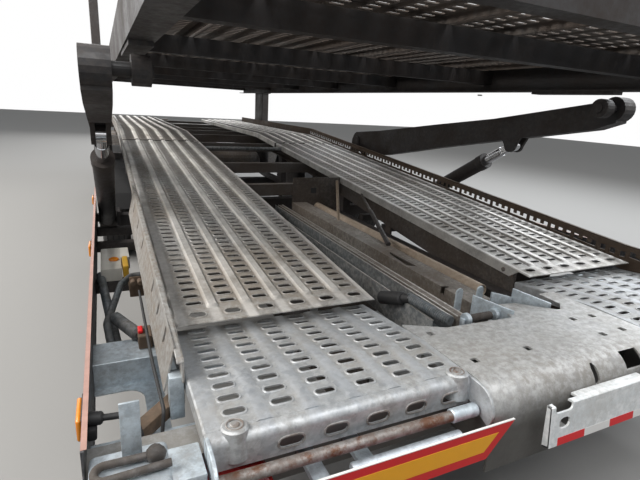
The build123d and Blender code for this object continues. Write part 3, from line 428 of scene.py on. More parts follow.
def rgb(colour, part=1):
    """Colour with its alpha, darkened to a part."""
    return (*[c * part for c in colour], 1)


def feed(tree, socket, source):
    """Link a socket to an output, or set it to a value."""
    if hasattr(source, "is_output"):
        tree.links.new(source, socket)
    else:
        socket.default_value = source


def add(tree, kind, links=(), **values):
    """Node with its settings, and its inputs by name or number."""
    node = tree.nodes.new(kind)
    for name, value in values.items():
        setattr(node, name, value)
    for socket, source in links:
        feed(tree, node.inputs[socket], source)
    return node


def ramp(tree, source, low, high, colours=(BLACK, WHITE)):
    """Colour ramp between two positions."""
    node = add(tree, "ShaderNodeValToRGB", [("Fac", source)])
    ends = node.color_ramp.elements
    ends[0].position, ends[1].position = low, high
    ends[0].color, ends[1].color = colours
    return node.outputs["Color"]


def mix(tree, factor, a, b, kind="RGBA"):
    first, second, result = {"RGBA": (6, 7, 2), "FLOAT": (2, 3, 0)}[kind]
    return add(tree, "ShaderNodeMix", [(0, factor), (first, a), (second, b)], data_type=kind).outputs[result]


def calc(tree, operation, a, b=0.5, clamp=False):
    return add(tree, "ShaderNodeMath", [(0, a), (1, b)], operation=operation, use_clamp=clamp).outputs[0]


def times(tree, a, b):
    return calc(tree, "MULTIPLY", a, b)


def minus(tree, a, b):
    return calc(tree, "SUBTRACT", a, b)


def off_half(tree, value):
    """Distance of a value from one half."""
    return calc(tree, "ABSOLUTE", minus(tree, value, 0.5))


def span(tree, value, low, high, to_low=0.0, to_high=1.0):
    """Value carried from one range to another."""
    ends = [("From Min", low), ("From Max", high), ("To Min", to_low), ("To Max", to_high)]
    return add(tree, "ShaderNodeMapRange", [("Value", value)] + ends).outputs[0]


def part_of(tree, place, axis):
    return add(tree, "ShaderNodeSeparateXYZ", [(0, place)]).outputs[axis]


def noise(tree, place, scale, detail=4, rough=0.6, stretch=None):
    """Noise value, its pattern stretched along an axis where a stretch is given."""
    if stretch:
        place = add(tree, "ShaderNodeMapping", [("Vector", place), ("Scale", stretch)]).outputs[0]
    return add(tree, "ShaderNodeTexNoise", [("Vector", place), ("Scale", scale), ("Detail", detail),
                                            ("Roughness", rough)]).outputs[0]


def group(name, amounts, *results):
    """New shader group that takes a place and some amounts, and the ends of its tree."""
    tree = bpy.data.node_groups.new(name, "ShaderNodeTree")
    tree.interface.new_socket("Place", in_out="INPUT", socket_type="NodeSocketVector")
    for label, value in amounts.items():
        tree.interface.new_socket(label, in_out="INPUT", socket_type="NodeSocketFloat").default_value = value
    for label in results:
        tree.interface.new_socket(label, in_out="OUTPUT", socket_type="NodeSocketFloat")
    return tree, tree.nodes.new("NodeGroupInput").outputs, tree.nodes.new("NodeGroupOutput").inputs


def grime_group():
    """Patches of road dirt: how much there is at a place, thicker in broad areas and in streaks."""
    tree, given, result = group("Grime", {"Amount": 0.5, "Scale": 3.0}, "Mask")
    broad = noise(tree, given["Place"], given["Scale"], 6, 0.65)
    fine = noise(tree, given["Place"], 60.0, 3, 0.7)
    level = minus(tree, mix(tree, 0.3, broad, fine, "FLOAT"), minus(tree, 0.74, given["Amount"]))
    feed(tree, result["Mask"], calc(tree, "MULTIPLY", level, 5.0, True))
    return tree


def worn_group():
    """Worn edges and corners, from how sharply the surface bends."""
    tree, given, result = group("Worn edges", {"Amount": 0.5}, "Mask")
    edge = span(tree, add(tree, "ShaderNodeNewGeometry").outputs["Pointiness"], 0.505, 0.56)
    chips = ramp(tree, noise(tree, given["Place"], 45.0, 5, 0.7), 0.42, 0.60)
    feed(tree, result["Mask"], calc(tree, "MULTIPLY", times(tree, edge, chips), given["Amount"], True))
    return tree


def spangle_group():
    """Crystals and faint mottling of a zinc coat, as a tone around the middle and a small height."""
    tree, given, result = group("Zinc spangle", {"Scale": 90.0}, "Tone", "Height")
    cells = add(tree, "ShaderNodeTexVoronoi", [("Vector", given["Place"]), ("Scale", given["Scale"])])
    grey = add(tree, "ShaderNodeRGBToBW", [(0, cells.outputs["Color"])]).outputs[0]
    cloud = noise(tree, given["Place"], 14.0, 6, 0.7)
    feed(tree, result["Tone"], mix(tree, 0.62, grey, cloud, "FLOAT"))
    feed(tree, result["Height"], noise(tree, given["Place"], 420.0, 3, 0.6))
    return tree


GRIME, WORN, SPANGLE = grime_group(), worn_group(), spangle_group()


def use(tree, shared, **given):
    """Place a shared group in a material."""
    return add(tree, "ShaderNodeGroup", given.items(), node_tree=shared).outputs


# Finishes

finishes = {}


def finish(name, slot, metallic=0.0, roughness=0.5, **sockets):
    """New material, with its shader's inputs and the piece's own coordinates; its slot is not used."""
    material = bpy.data.materials.new(name)
    material.use_nodes = True
    finishes[name] = material
    tree = material.node_tree
    shader = tree.nodes["Principled BSDF"].inputs
    shader["Metallic"].default_value = metallic
    shader["Roughness"].default_value = roughness
    for socket, value in sockets.items():
        shader[socket.replace("_", " ")].default_value = value
    return tree, shader, add(tree, "ShaderNodeTexCoord").outputs["Object"]


def height_bump(tree, shader, height, strength, distance):
    bump = add(tree, "ShaderNodeBump", [("Height", height), ("Strength", strength), ("Distance", distance)])
    feed(tree, shader["Normal"], bump.outputs[0])


def ridge_mask(tree, place, first, pitch):
    """Tops of a fluted sheet's ridges, from how far across the runway a place is."""
    beyond = minus(tree, calc(tree, "ABSOLUTE", part_of(tree, place, 0)), first)
    part = calc(tree, "FRACT", calc(tree, "DIVIDE", beyond, pitch))
    return ramp(tree, off_half(tree, part), 0.11, 0.19, (WHITE, BLACK))


def zinc(name, light, dark, dirt, amount, brushed=None, metallic=0.55, rust=0.0, ridges=None, shade=None):
    """Weathered galvanised sheet, its dirt lying in patches and its edges rubbed bright; where asked, a
    painted highlight on its ridges, painted shade in its valleys and painted shade on its lower part.
    """
    tree, shader, place = finish(name, "galvanised", metallic)
    crystal = use(tree, SPANGLE, Place=place, Scale=85.0)
    tone = ramp(tree, crystal["Tone"], 0.28, 0.72, (rgb(dark), rgb(light)))
    if brushed:
        streak = ramp(tree, noise(tree, place, 9.0, 6, 0.75, brushed), 0.35, 0.7)
        tone = mix(tree, times(tree, streak, 0.55), tone, rgb(dark))
    worn = use(tree, WORN, Place=place, Amount=0.9)[0]
    bright = [min(1, c * 1.25) for c in light]
    tone = mix(tree, times(tree, worn, 0.6), tone, rgb(bright))
    grime = use(tree, GRIME, Place=place, Amount=amount, Scale=2.2)[0]
    grime = times(tree, grime, minus(tree, 1.0, times(tree, worn, 0.7)))
    colour = mix(tree, times(tree, grime, 0.8), tone, rgb(dirt))
    if ridges:
        colour = ridged(tree, place, colour, dark, *ridges)
    # Painted shade: the sheet darker towards the bottom, by height, blending to a dark dirt colour
    if shade:
        low, high, most = shade
        depth = span(tree, part_of(tree, place, 2), high, low)
        colour = mix(tree, times(tree, depth, most), colour, rgb(dirt, 0.28))
    if rust:
        spots = ramp(tree, noise(tree, place, 11.0, 8, 0.75), 0.62 - rust * 0.2, 0.72 - rust * 0.2)
        colour = mix(tree, spots, colour, rgb((0.12, 0.055, 0.03)))
    feed(tree, shader["Base Color"], colour)
    matt = mix(tree, grime, crystal["Tone"], 1.0, "FLOAT")
    feed(tree, shader["Roughness"], span(tree, matt, 0, 1, 0.38, 0.62))
    feed(tree, shader["Metallic"], span(tree, grime, 0, 1, metallic, 0.05))
    height_bump(tree, shader, crystal["Height"], 0.25, 0.0006)


def ridged(tree, place, colour, dark, sheet, highlight_amount, highlight_tint, valley):
    """Colour of a fluted sheet: a painted highlight on its ridge tops in patches, and painted shade in its
    valleys, deeper further forward.
    """
    tops = ridge_mask(tree, place, *sheet[:2])
    forward = span(tree, part_of(tree, place, 1), y_of(0.8), y_of(3.4))
    # Painted shade: the valleys darkened, more so further forward
    valley_shade = times(tree, minus(tree, 1.0, tops), times(tree, forward, valley))
    colour = mix(tree, valley_shade, colour, rgb(dark, 0.30))
    # Painted highlight: the ridge tops lightened in patches
    highlight_patches = ramp(tree, noise(tree, place, 5.0, 6, 0.7), 0.30, 0.60)
    return mix(tree, times(tree, times(tree, tops, highlight_amount), highlight_patches), colour, rgb(highlight_tint))


def paint(name, slot, colour, under, dirt, amount=0.4, roughness=0.45, wear=0.6):
    """Painted steel, chipped at its edges, with dust and dirt over it."""
    tree, shader, place = finish(name, slot, 0.0, roughness)
    cloud = noise(tree, place, 7.0, 5, 0.6)
    tone = ramp(tree, cloud, 0.35, 0.68, (rgb(colour, 0.72), rgb(colour)))
    tone = mix(tree, use(tree, WORN, Place=place, Amount=wear)[0], tone, rgb(under))
    grime = use(tree, GRIME, Place=place, Amount=amount, Scale=2.6)[0]
    feed(tree, shader["Base Color"], mix(tree, times(tree, grime, 0.75), tone, rgb(dirt)))
    feed(tree, shader["Roughness"], span(tree, grime, 0, 1, roughness, 0.85))
    height_bump(tree, shader, noise(tree, place, 160.0, 4, 0.6), 0.2, 0.0008)


def plain(name, slot, colour, roughness=0.4, metallic=0.0, mottle=0.12, grain=0.15, **sockets):
    """Even finish with a faint mottle and grain."""
    tree, shader, place = finish(name, slot, metallic, roughness, **sockets)
    cloud = noise(tree, place, 22.0, 5, 0.65)
    feed(tree, shader["Base Color"], ramp(tree, cloud, 0.3, 0.7, (rgb(colour, 1 - mottle), rgb(colour))))
    rough = span(tree, cloud, 0, 1, roughness * 0.85, min(1, roughness * 1.2))
    feed(tree, shader["Roughness"], rough)
    height_bump(tree, shader, noise(tree, place, 300.0, 3, 0.6), grain, 0.0005)


def tread(name):
    """Black rubber with lengthwise grooves round its tread, darkened as painted shade, and dust on its walls.
    """
    tree, shader, place = finish(name, "tyre", 0.0, 0.72)
    across, forward, height = add(tree, "ShaderNodeSeparateXYZ", [(0, place)]).outputs
    near = [calc(tree, "ABSOLUTE", minus(tree, forward, y_of(s))) for s in AXLES]
    level, up = calc(tree, "MINIMUM", *near), minus(tree, height, TYRE_RADIUS)
    square = calc(tree, "ADD", times(tree, level, level), times(tree, up, up))
    on_tread = ramp(tree, calc(tree, "SQRT", square), 0.340, 0.350)
    wave = calc(tree, "FRACT", calc(tree, "DIVIDE", calc(tree, "ABSOLUTE", across), 0.0392))
    groove = times(tree, ramp(tree, off_half(tree, wave), 0.36, 0.42), on_tread)
    dust = use(tree, GRIME, Place=place, Amount=0.34, Scale=6.0)[0]
    tone = mix(tree, times(tree, dust, 0.6), rgb((0.026, 0.026, 0.027)), rgb((0.085, 0.075, 0.064)))
    # Painted shade: the grooves darkened to near black
    feed(tree, shader["Base Color"], mix(tree, groove, tone, rgb((0.006, 0.006, 0.006))))
    relief = minus(tree, noise(tree, place, 220.0, 3, 0.6), times(tree, groove, 8.0))
    height_bump(tree, shader, relief, 0.5, 0.0012)


ROAD_DUST = (0.155, 0.115, 0.078)
DARK_DIRT = (0.060, 0.045, 0.034)

# Each ridges entry: the sheet, the strength and colour of its painted ridge highlight (a bluish sheen on the
# rear plate), and the depth of its painted valley shade
zinc("rear sheet", (0.50, 0.515, 0.525), (0.31, 0.33, 0.35), (0.25, 0.23, 0.20), 0.32,
     ridges=(REAR_SHEET, 0.30, (0.46, 0.50, 0.56), 0))
zinc("slope sheet", (0.55, 0.545, 0.53), (0.31, 0.305, 0.30), (0.24, 0.205, 0.165), 0.34,
     ridges=(SLOPE_SHEET, 0.75, (0.80, 0.78, 0.75), 0.55))
zinc("front sheet", (0.62, 0.60, 0.57), (0.36, 0.34, 0.32), (0.26, 0.21, 0.165), 0.34,
     ridges=(SLOPE_SHEET, 0.95, (0.92, 0.89, 0.84), 0.80))
# The cover sheet's lower face is darkened as painted shade
zinc("cover sheet", (0.52, 0.525, 0.52), (0.34, 0.345, 0.35), (0.27, 0.25, 0.22), 0.32, brushed=(14, 1, 1),
     shade=(0.515, 0.618, 0.88))
zinc("kerb sheet", (0.44, 0.44, 0.43), (0.26, 0.26, 0.26), (0.23, 0.19, 0.15), 0.40)
zinc("guard zinc", (0.80, 0.83, 0.84), (0.66, 0.69, 0.70), (0.48, 0.46, 0.43), 0.22, metallic=0.25,
     brushed=(16, 1, 1))
zinc("fitting zinc", (0.55, 0.615, 0.66), (0.37, 0.42, 0.465), (0.25, 0.245, 0.235), 0.24)
zinc("rusty zinc", (0.30, 0.29, 0.28), (0.17, 0.155, 0.15), (0.13, 0.085, 0.06), 0.42, rust=0.7)
zinc("stained zinc", (0.38, 0.38, 0.375), (0.24, 0.235, 0.23), (0.15, 0.11, 0.085), 0.38, rust=0.35)

paint("iron grey", "dark_steel", (0.075, 0.073, 0.072), (0.22, 0.20, 0.19), DARK_DIRT, 0.34, wear=0.4)
paint("dark steel", "dark_steel", (0.026, 0.025, 0.027), (0.10, 0.085, 0.075), (0.042, 0.032, 0.027),
      0.34, wear=0.3)
paint("upper sheet", "dark_steel", (0.115, 0.105, 0.098), (0.20, 0.18, 0.16), (0.085, 0.062, 0.048),
      0.40, 0.55)
paint("brown steel", "dark_steel", (0.16, 0.115, 0.08), (0.26, 0.17, 0.11), (0.09, 0.06, 0.04), 0.42, 0.6)
paint("bay grey", "frame_grey", (0.20, 0.185, 0.168), (0.40, 0.37, 0.33), (0.12, 0.092, 0.070), 0.36, 0.5)
paint("rail steel", "frame_grey", (0.15, 0.165, 0.175), (0.45, 0.44, 0.42), (0.08, 0.068, 0.058),
      0.24, 0.4, 0.5)
paint("frame grey", "frame_grey", (0.20, 0.205, 0.215), (0.33, 0.31, 0.29), ROAD_DUST, 0.36)
paint("tan paint", "frame_grey", (0.56, 0.46, 0.36), (0.40, 0.31, 0.24), (0.28, 0.21, 0.15), 0.28, 0.5)
paint("chassis paint", "frame_grey", (0.085, 0.078, 0.074), (0.19, 0.165, 0.145), (0.070, 0.052, 0.040), 0.38)
paint("blue steel", "frame_grey", (0.105, 0.13, 0.145), (0.24, 0.25, 0.26), DARK_DIRT, 0.34, 0.42)
# Right kerb: the same galvanised sheet as the left one, painted dark brown as shade for its backlit side
paint("black kerb", "black_kerb", (0.075, 0.058, 0.046), (0.21, 0.16, 0.12), (0.10, 0.066, 0.043), 0.42)
paint("skirt paint", "skirt", (0.05, 0.052, 0.06), (0.2, 0.2, 0.2), DARK_DIRT, 0.25)

plain("worn steel", "frame_grey", (0.66, 0.64, 0.60), 0.35, 0.8, 0.3, 0.2)
plain("wheel silver", "rim", (0.62, 0.63, 0.64), 0.35, 0.7)
plain("chrome", "chrome", (0.75, 0.76, 0.78), 0.12, 1.0, 0.05, 0.02)
plain("faded tape", "board", (0.50, 0.30, 0.25), 0.5, 0.0, 0.25)
plain("board yellow", "board", (0.95, 0.43, 0.015), 0.30, 0.0, 0.06)
plain("board red", "board", (0.72, 0.018, 0.022), 0.30, 0.0, 0.06)
plain("white tape", "board", (0.80, 0.79, 0.77), 0.35, 0.0, 0.05)
plain("red lens", "lamp", (0.42, 0.012, 0.012), 0.15, 0.0, 0.05, 0.05, Coat_Weight=0.6)
plain("amber lens", "amber_lamp", (0.85, 0.27, 0.01), 0.18, 0.0, 0.05, 0.05, Coat_Weight=0.6)
plain("coupling red", "rubber", (0.45, 0.02, 0.02), 0.4)
plain("rubber", "rubber", (0.022, 0.022, 0.023), 0.6, 0.0, 0.2, 0.3)
plain("hose", "rubber", (0.030, 0.034, 0.040), 0.45, 0.0, 0.2, 0.2)
plain("ivory plastic", "rubber", (0.68, 0.66, 0.60), 0.45)
plain("yellow plastic", "rubber", (0.62, 0.36, 0.03), 0.45)
tread("tyre")


def dress(piece, finish_name, body="trailer"):
    """Give a finished piece its material and the body that it moves with."""
    piece.data.materials.clear()
    piece.data.materials.append(finishes[finish_name])
    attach(piece, body)
    return piece


def both_sides(finish_name, *pieces):
    """Dress pieces made on the right and their mirror images on the left."""
    for piece in pieces:
        base = piece.name
        left = flipped(piece, base + "_left")
        rename(piece, base + "_right")
        dress(smooth(piece, 30), finish_name)
        dress(smooth(left, 30), finish_name)


def coat(finish_name, *node_names):
    """Give CAD nodes a material."""
    for name in node_names:
        for place in nodes[name].material_slots:
            place.material = finishes[finish_name]


# Slotted sheets

def cell(name, slot, depth, ridge, pitch, rim=True):
    """One slot, with a raised rim if asked, in the valley of a fluted sheet, and the ridge on its right."""
    length, height = slot
    bpy.ops.mesh.primitive_circle_add(vertices=12, radius=height / 2, fill_type="NOTHING",
                                      rotation=(0, 0, math.pi / 12))
    piece = settle(named(name))
    edit(piece)
    if rim:
        choose_all()
        bpy.ops.transform.translate(value=(0, 0, RIM_RISE))
    for side in (-1, 1):
        choose(piece, "VERT", lambda v: v.co.x * side > 0)
        bpy.ops.transform.translate(value=(side * (length - height) / 2, 0, 0))
    choose_all()
    half, rise = length / 2, height / 2
    for grow, drop in ((RIM_FLAT, 0), (RIM_FOOT, RIM_RISE)) if rim else ():
        draw((0, 0, -drop))
        resize(((half + grow) / half, (rise + grow) / rise, 1))
        half, rise = half + grow, rise + grow
    draw((0, 0, 0))
    resize((1, depth / 2 / rise, 1))
    # Square the outer ring to the cell's four sides
    side_reach = VALLEY / 2
    outer = {v.index for v in bmesh.from_edit_mesh(piece.data).verts if v.select}
    tall = math.sin(math.radians(30)) * depth / 2
    for side in (-1, 1):
        choose(piece, "VERT", lambda v: v.index in outer and v.co.y * side > tall)
        resize((1, 0, 1), (0, side * depth / 2, 0))
    for side in (-1, 1):
        choose(piece, "VERT", lambda v: v.index in outer and v.co.x * side > half - rise * 0.6)
        resize((0, 1, 1), (side * side_reach, 0, 0))
    if ridge is not None:
        choose_edges(piece, 0, side_reach)
        gap = (pitch - VALLEY) / 5
        draw((gap, 0, ridge), (gap * 3, 0, 0), (gap, 0, -ridge))
    done()
    return piece


def row(name, slot, depth, ridge, sheet=SLOPE_SHEET, columns=COLUMNS, rim=True):
    """Row of slots across a runway, with the folded edges of the sheet."""
    first, pitch, inner, outer, flange = sheet
    piece = repeat(cell(name, slot, depth, ridge, pitch, rim), columns - 1, (pitch, 0, 0), True)
    last = moved(cell("last cell", slot, depth, None, pitch, rim), ((columns - 1) * pitch, 0, 0))
    piece = weld(moved(join(name, piece, last), (first, 0, 0)))
    low = first - VALLEY / 2
    high = first + (columns - 1) * pitch + VALLEY / 2
    edit(piece)
    for edge, limit, inward in ((low, inner, 1), (high, outer, -1)):
        choose_edges(piece, 0, edge)
        draw((limit - edge + inward * FOLD_BEND, 0, 0), (-inward * FOLD_BEND, 0, -FOLD_BEND),
             (0, 0, FOLD_BEND - flange))
    done()
    return piece


def rows(piece, count, start):
    """Put a row half a pitch ahead of a start and repeat it forwards."""
    return repeat(moved(piece, (0, start + ROW_PITCH / 2, 0)), count, (0, ROW_PITCH, 0), True)


def draw_on(piece, y, move):
    """Lengthen a sheet from its end at y."""
    edit(piece)
    choose_edges(piece, 1, y)
    draw((0, move, 0))
    done()


def thicken(piece):
    """Turn an open sheet so that its top faces up, and give it its thickness below."""
    edit(piece)
    face_out()
    top = max(bmesh.from_edit_mesh(piece.data).faces, key=lambda f: abs(f.normal.z) * f.calc_area())
    if top.normal.z < 0:
        bpy.ops.mesh.flip_normals()
    done()
    return modify(piece, "SOLIDIFY", thickness=SHEET, offset=-1)


def lay(piece, tilt, station, height):
    """Tilt a flat sheet about its rear edge and put that edge at a place."""
    piece.rotation_euler = (tilt, 0, 0)
    return moved(piece, (0, y_of(station), height))


def slope_panel():
    """Sloped runway: a row of wide slots behind its rear margin, then the long field of slots."""
    wide_depth, start, taper, count = 0.040, 0.067, 0.012, 62
    field = rows(row("slope field", SLOT, ROW_PITCH, RIDGE), count, start)
    end = start + count * ROW_PITCH
    draw_on(field, end, PANEL_JOINT / math.cos(SLOPE) - PANEL_GAP - end)
    draw_on(field, start, -taper)
    edit(field)
    choose(field, "VERT", lambda v: abs(v.co.y - start + taper) < 1e-6 and v.co.z > 1e-4)
    resize((1, 1, 0))
    done()
    flat_end = 0.0405
    draw_on(field, start - taper, flat_end - start + taper)
    first = moved(row("wide slots", WIDE_SLOT, wide_depth, 0.0), (0, flat_end - wide_depth / 2, 0))
    back = flat_end - wide_depth
    draw_on(first, back, SLOPE_START / math.cos(SLOPE) - back)
    panel = thicken(weld(join("runway_slope_sheet_right", field, first), 2e-5))
    # Fold kept clear of the rear plate, its end cut at a slant
    shape = [(-0.10, -0.2), (-0.10, -0.0055), (0.030, -0.0055), (0.075, -0.046), (0.075, -0.2)]
    cutter = side_plate("fold cutter", shape, (RUNWAY_INNER - 0.1, RUNWAY_OUTER + 0.1), 0)
    cut(panel, moved(cutter, (0, -KNEE_Y, 0)))
    return lay(panel, SLOPE, 0, KNEE_Z)


def plain_ended(name, length, count):
    """Field of slots with a margin at its rear, and the rest of its length ahead of the slots."""
    field = rows(row(name, SLOT, ROW_PITCH, RIDGE), count, PANEL_MARGIN)
    draw_on(field, PANEL_MARGIN, -PANEL_MARGIN)
    end = PANEL_MARGIN + count * ROW_PITCH
    draw_on(field, end, length - end)
    return field


def front_panel():
    """Front runway: it rises to the bend and then lies level."""
    rise = (BEND - PANEL_JOINT) / math.cos(SLOPE) - PANEL_GAP
    low = plain_ended("rising field", rise, int((rise - PANEL_MARGIN) / ROW_PITCH))
    lay(low, SLOPE, PANEL_JOINT + PANEL_GAP, deck_z(PANEL_JOINT + PANEL_GAP))
    level = DECK_FRONT - BEND
    high = plain_ended("level field", level, int((level - 2 * PANEL_MARGIN) / ROW_PITCH))
    lay(high, 0, BEND, deck_z(BEND))
    return thicken(weld(join("runway_front_sheet_right", low, high), 2e-4))


def rear_panel():
    """Rear plate: level behind its bend, then falling under the sloped panel."""
    first, level_rows = -0.437, 3
    seam = first + (level_rows - 0.5) * ROW_PITCH
    back = first - ROW_PITCH / 2
    level = rows(row("level rows", SLOT, ROW_PITCH, REAR_RIDGE, REAR_SHEET), level_rows, back)
    draw_on(level, back, REAR_END - back)
    lay(level, 0, 0, REAR_LEVEL)
    fall = (REAR_FRONT - seam) / math.cos(REAR_FALL)
    count = int(fall / ROW_PITCH)
    lower = rows(row("falling rows", SLOT, ROW_PITCH, REAR_RIDGE, REAR_SHEET), count, 0)
    draw_on(lower, count * ROW_PITCH, fall - count * ROW_PITCH)
    lay(lower, -REAR_FALL, seam, REAR_LEVEL)
    return thicken(weld(join("runway_rear_sheet_right", level, lower), 2e-4))


def runways():
    for make, finish_name, node in ((rear_panel, "rear sheet", "runway_rear"),
                                    (slope_panel, "slope sheet", "runway_slope"),
                                    (front_panel, "front sheet", "runway_front")):
        right = smooth(make(), 30)
        left = flipped(right, right.name.replace("right", "left"))
        smooth(left, 30)
        for side, piece in (("right", right), ("left", left)):
            dress(piece, finish_name)
            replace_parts(piece, f"{node}_{side}")


def planks():
    """Upper runways and the narrower sheets beside and between them."""
    made = []
    for name, (columns, inner, outer) in PLANKS.items():
        step = (outer - inner) / columns
        sheet = (inner + step / 2, step, inner, outer, PLANK_FOLD)
        plank = rows(row("plank_" + name, SLOT, ROW_PITCH, RIDGE, sheet, columns, False), PLANK_ROWS, 0)
        plank = smooth(lay(thicken(weld(plank)), 0, PLANK_START, PLANK_TOP), 30)
        made.append(plank)
        if inner > 0:
            made.append(smooth(flipped(plank, "plank_" + name + "_left"), 30))
    for plank in made:
        dress(plank, "upper sheet", "upper_deck")
    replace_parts(made[0], "upper_planks")


# Rear end

def curve(centre, radius, start, end, steps=6):
    """Points of an arc in the side plane, its angles in degrees from forward to up."""
    angles = [math.radians(start + (end - start) * k / steps) for k in range(steps + 1)]
    return [(centre[0] + radius * math.cos(a), centre[1] + radius * math.sin(a)) for a in angles]


def lip():
    """Folded edge behind the rear plate: slots with rusty rims, two cheeks, pin bosses and the bar."""
    back, top, radius, depth = REAR_END - 0.030, REAR_LEVEL, 0.020, 0.075
    centre = (back + radius, top - radius)
    outer = curve(centre, radius, 90, 180) + [(back, top - depth)]
    inner = [(back + SHEET, top - depth)] + curve(centre, radius - SHEET, 180, 90) + [(REAR_END, top - SHEET)]
    fold = side_plate("rear_lip", [(REAR_END, top)] + outer + inner, (RUNWAY_INNER, REAR_OUTER), 0.0006)
    hole, slot_x, slot_z, step = (0.057, 0.025), FIRST_COLUMN + 0.010, top - 0.045, (COLUMN_PITCH, 0, 0)
    cutter = upright_slot("slot cutter", slot_x, back - 0.01, slot_z, hole, 0.03)
    cut(fold, repeat(cutter, 5, step))
    rim = upright_slot("lip_rims", slot_x, back + 0.001, slot_z, (0.066, 0.034), -0.0035, 0.0008)
    cutter = upright_slot("rim cutter", slot_x, back - 0.01, slot_z, hole, 0.03)
    rims = repeat(cut(rim, cutter), 5, step)
    bow = curve((REAR_END - 0.055, top - 0.060), 0.060, 100, 215, 10)
    shape = [(REAR_END + 0.001, top)] + bow + [(REAR_END + 0.001, top - 0.050)]
    cheeks = [side_plate("lip_cheek", shape, (x, x + 0.008), 0.0015)
              for x in (RUNWAY_INNER, REAR_OUTER - 0.008)]
    places, pin_s = (REAR_OUTER - 0.062, RUNWAY_INNER + 0.034), REAR_END - 0.004
    bosses = join("lip_bosses", *[rod("lip_boss", (x, REAR_END - 0.010, top - 0.066), (x, pin_s, top + 0.008),
                                      0.029, 32, 0.004) for x in places])
    pins = [rod("pin", (x, pin_s, top + 0.004), (x, pin_s, top + 0.0115), 0.0105, 20, 0.002) for x in places]
    pins += [ring("pin_ring", (x, pin_s, top + 0.0085), 0.0175, 0.0022) for x in places]
    pins = join("lip_pins", *pins)
    bar_s, bar_z = -0.548, 0.556
    rusty = cross_rod("lip_bar", (0.447, REAR_OUTER - 0.001), bar_s, bar_z, 0.0135)
    sleeve = cross_rod("lip_sleeve", (0.390, 0.470), bar_s, bar_z, 0.0175, 24, 0.003)
    both_sides("rear sheet", fold, cheeks[0], bosses)
    both_sides("fitting zinc", rename(cheeks[1], "outer_cheek"), sleeve)
    both_sides("stained zinc", rims, pins)
    both_sides("rusty zinc", rusty)


def board(side, back, high):
    """Marking board with a red border round a yellow field, on two arms and a tube."""
    inner, far, low = 0.327, 0.892, high - 0.095
    border, slant = 0.024, 0.078
    run = border / math.sin(math.atan2(high - low, slant))
    shift = slant * border / (high - low)
    shape = [(inner, high), (far, high), (far, low), (inner + slant, low)]
    field = [(inner + shift + run, high - border), (far - border, high - border),
             (far - border, low + border), (inner + slant - shift + run, low + border)]
    word = "right" if side > 0 else "left"
    base = outline("board_border_" + word, [(side * x, back + 0.0004, z) for x, z in shape],
                   (0, 0.0036, 0), 0.0008)
    centre = outline("board_field_" + word, [(side * x, back, z) for x, z in field], (0, 0.0008, 0), 0.0003)
    edge = block("board_edge_" + word, (side * (inner + 0.001), back + 0.0002, high - 0.0025),
                 (side * far, back + 0.006, high + 0.0005), 0.0008)
    arms = [block("board_arm", (side * (x - 0.02), back + 0.0042, high - 0.075),
                  (side * (x + 0.02), REAR_BEAM - 0.0003, high - 0.060)) for x in (0.700, 0.820)]
    tube = cross_rod("board_tube", (side * 0.45, side * 0.755), -0.57, 0.512, 0.014, 24, 0.003)
    dress(base, "board red")
    dress(centre, "board yellow")
    dress(edge, "white tape")
    dress(join("board_arms_" + word, *arms), "fitting zinc")
    dress(rename(tube, "board_tube_" + word), "fitting zinc")
    return base


def boards():
    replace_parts(board(1, -0.660, 0.561), "marking_boards")
    board(-1, -0.6193, 0.561)


def corners():
    """Lids at both rear corners with their handle, upright plate and the amber marker lamp's plug."""
    low_x, high_x, seat = KERB_X + 0.002, SKIRT_X - 0.010, 0.5603
    lid = block("corner_lid", (low_x + 0.06, -0.585, seat), (high_x, -0.437, 0.600), 0.012, 4)
    inner = block("corner_block", (low_x, -0.555, seat), (low_x + 0.066, -0.462, 0.594), 0.004)
    upright = block("corner_plate", (1.170, -0.4725, 0.598), (1.206, -0.4670, 0.724), 0.0012)
    grip_z = 0.611
    handle = pipe("corner_handle", [(1.150, -0.488, grip_z), (1.254, -0.486, grip_z), (1.254, -0.527, grip_z),
                                    (1.122, -0.520, grip_z)], 0.0078, 0.018, 14, 8)
    bpy.ops.mesh.primitive_ico_sphere_add(subdivisions=3, radius=0.019, location=at((1.146, -0.489, 0.615)))
    knob = modify(settle(named("handle_knob")), "CAST", factor=0.25, cast_type="CUBOID")
    edit(knob)
    choose_all()
    bpy.ops.transform.vertex_random(offset=0.0016, seed=4)
    done()
    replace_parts(lid, "corner_boxes")
    both_sides("fitting zinc", lid, inner, upright)
    both_sides("iron grey", handle, knob)

    def inside(depth, station, height):
        return SKIRT_X - depth, station, height

    plug = rod("marker_plug", inside(0.004, -0.305, 0.590), inside(0.036, -0.310, 0.588), 0.0145, 20, 0.004)
    boot = rod("marker_boot", inside(0.032, -0.309, 0.588), inside(0.072, -0.314, 0.588), 0.0075, 16, 0.002)
    lead = pipe("marker_lead", [inside(0.068, -0.314, 0.588), inside(0.100, -0.322, 0.586),
                                inside(0.112, -0.345, 0.550), inside(0.114, -0.350, 0.4176)],
                0.0035, 0.012, 10, 4)
    socket = block("marker_socket", inside(0.022, -0.330, 0.548), inside(0.003, -0.282, 0.576), 0.004)
    both_sides("rubber", plug, boot, lead, socket)


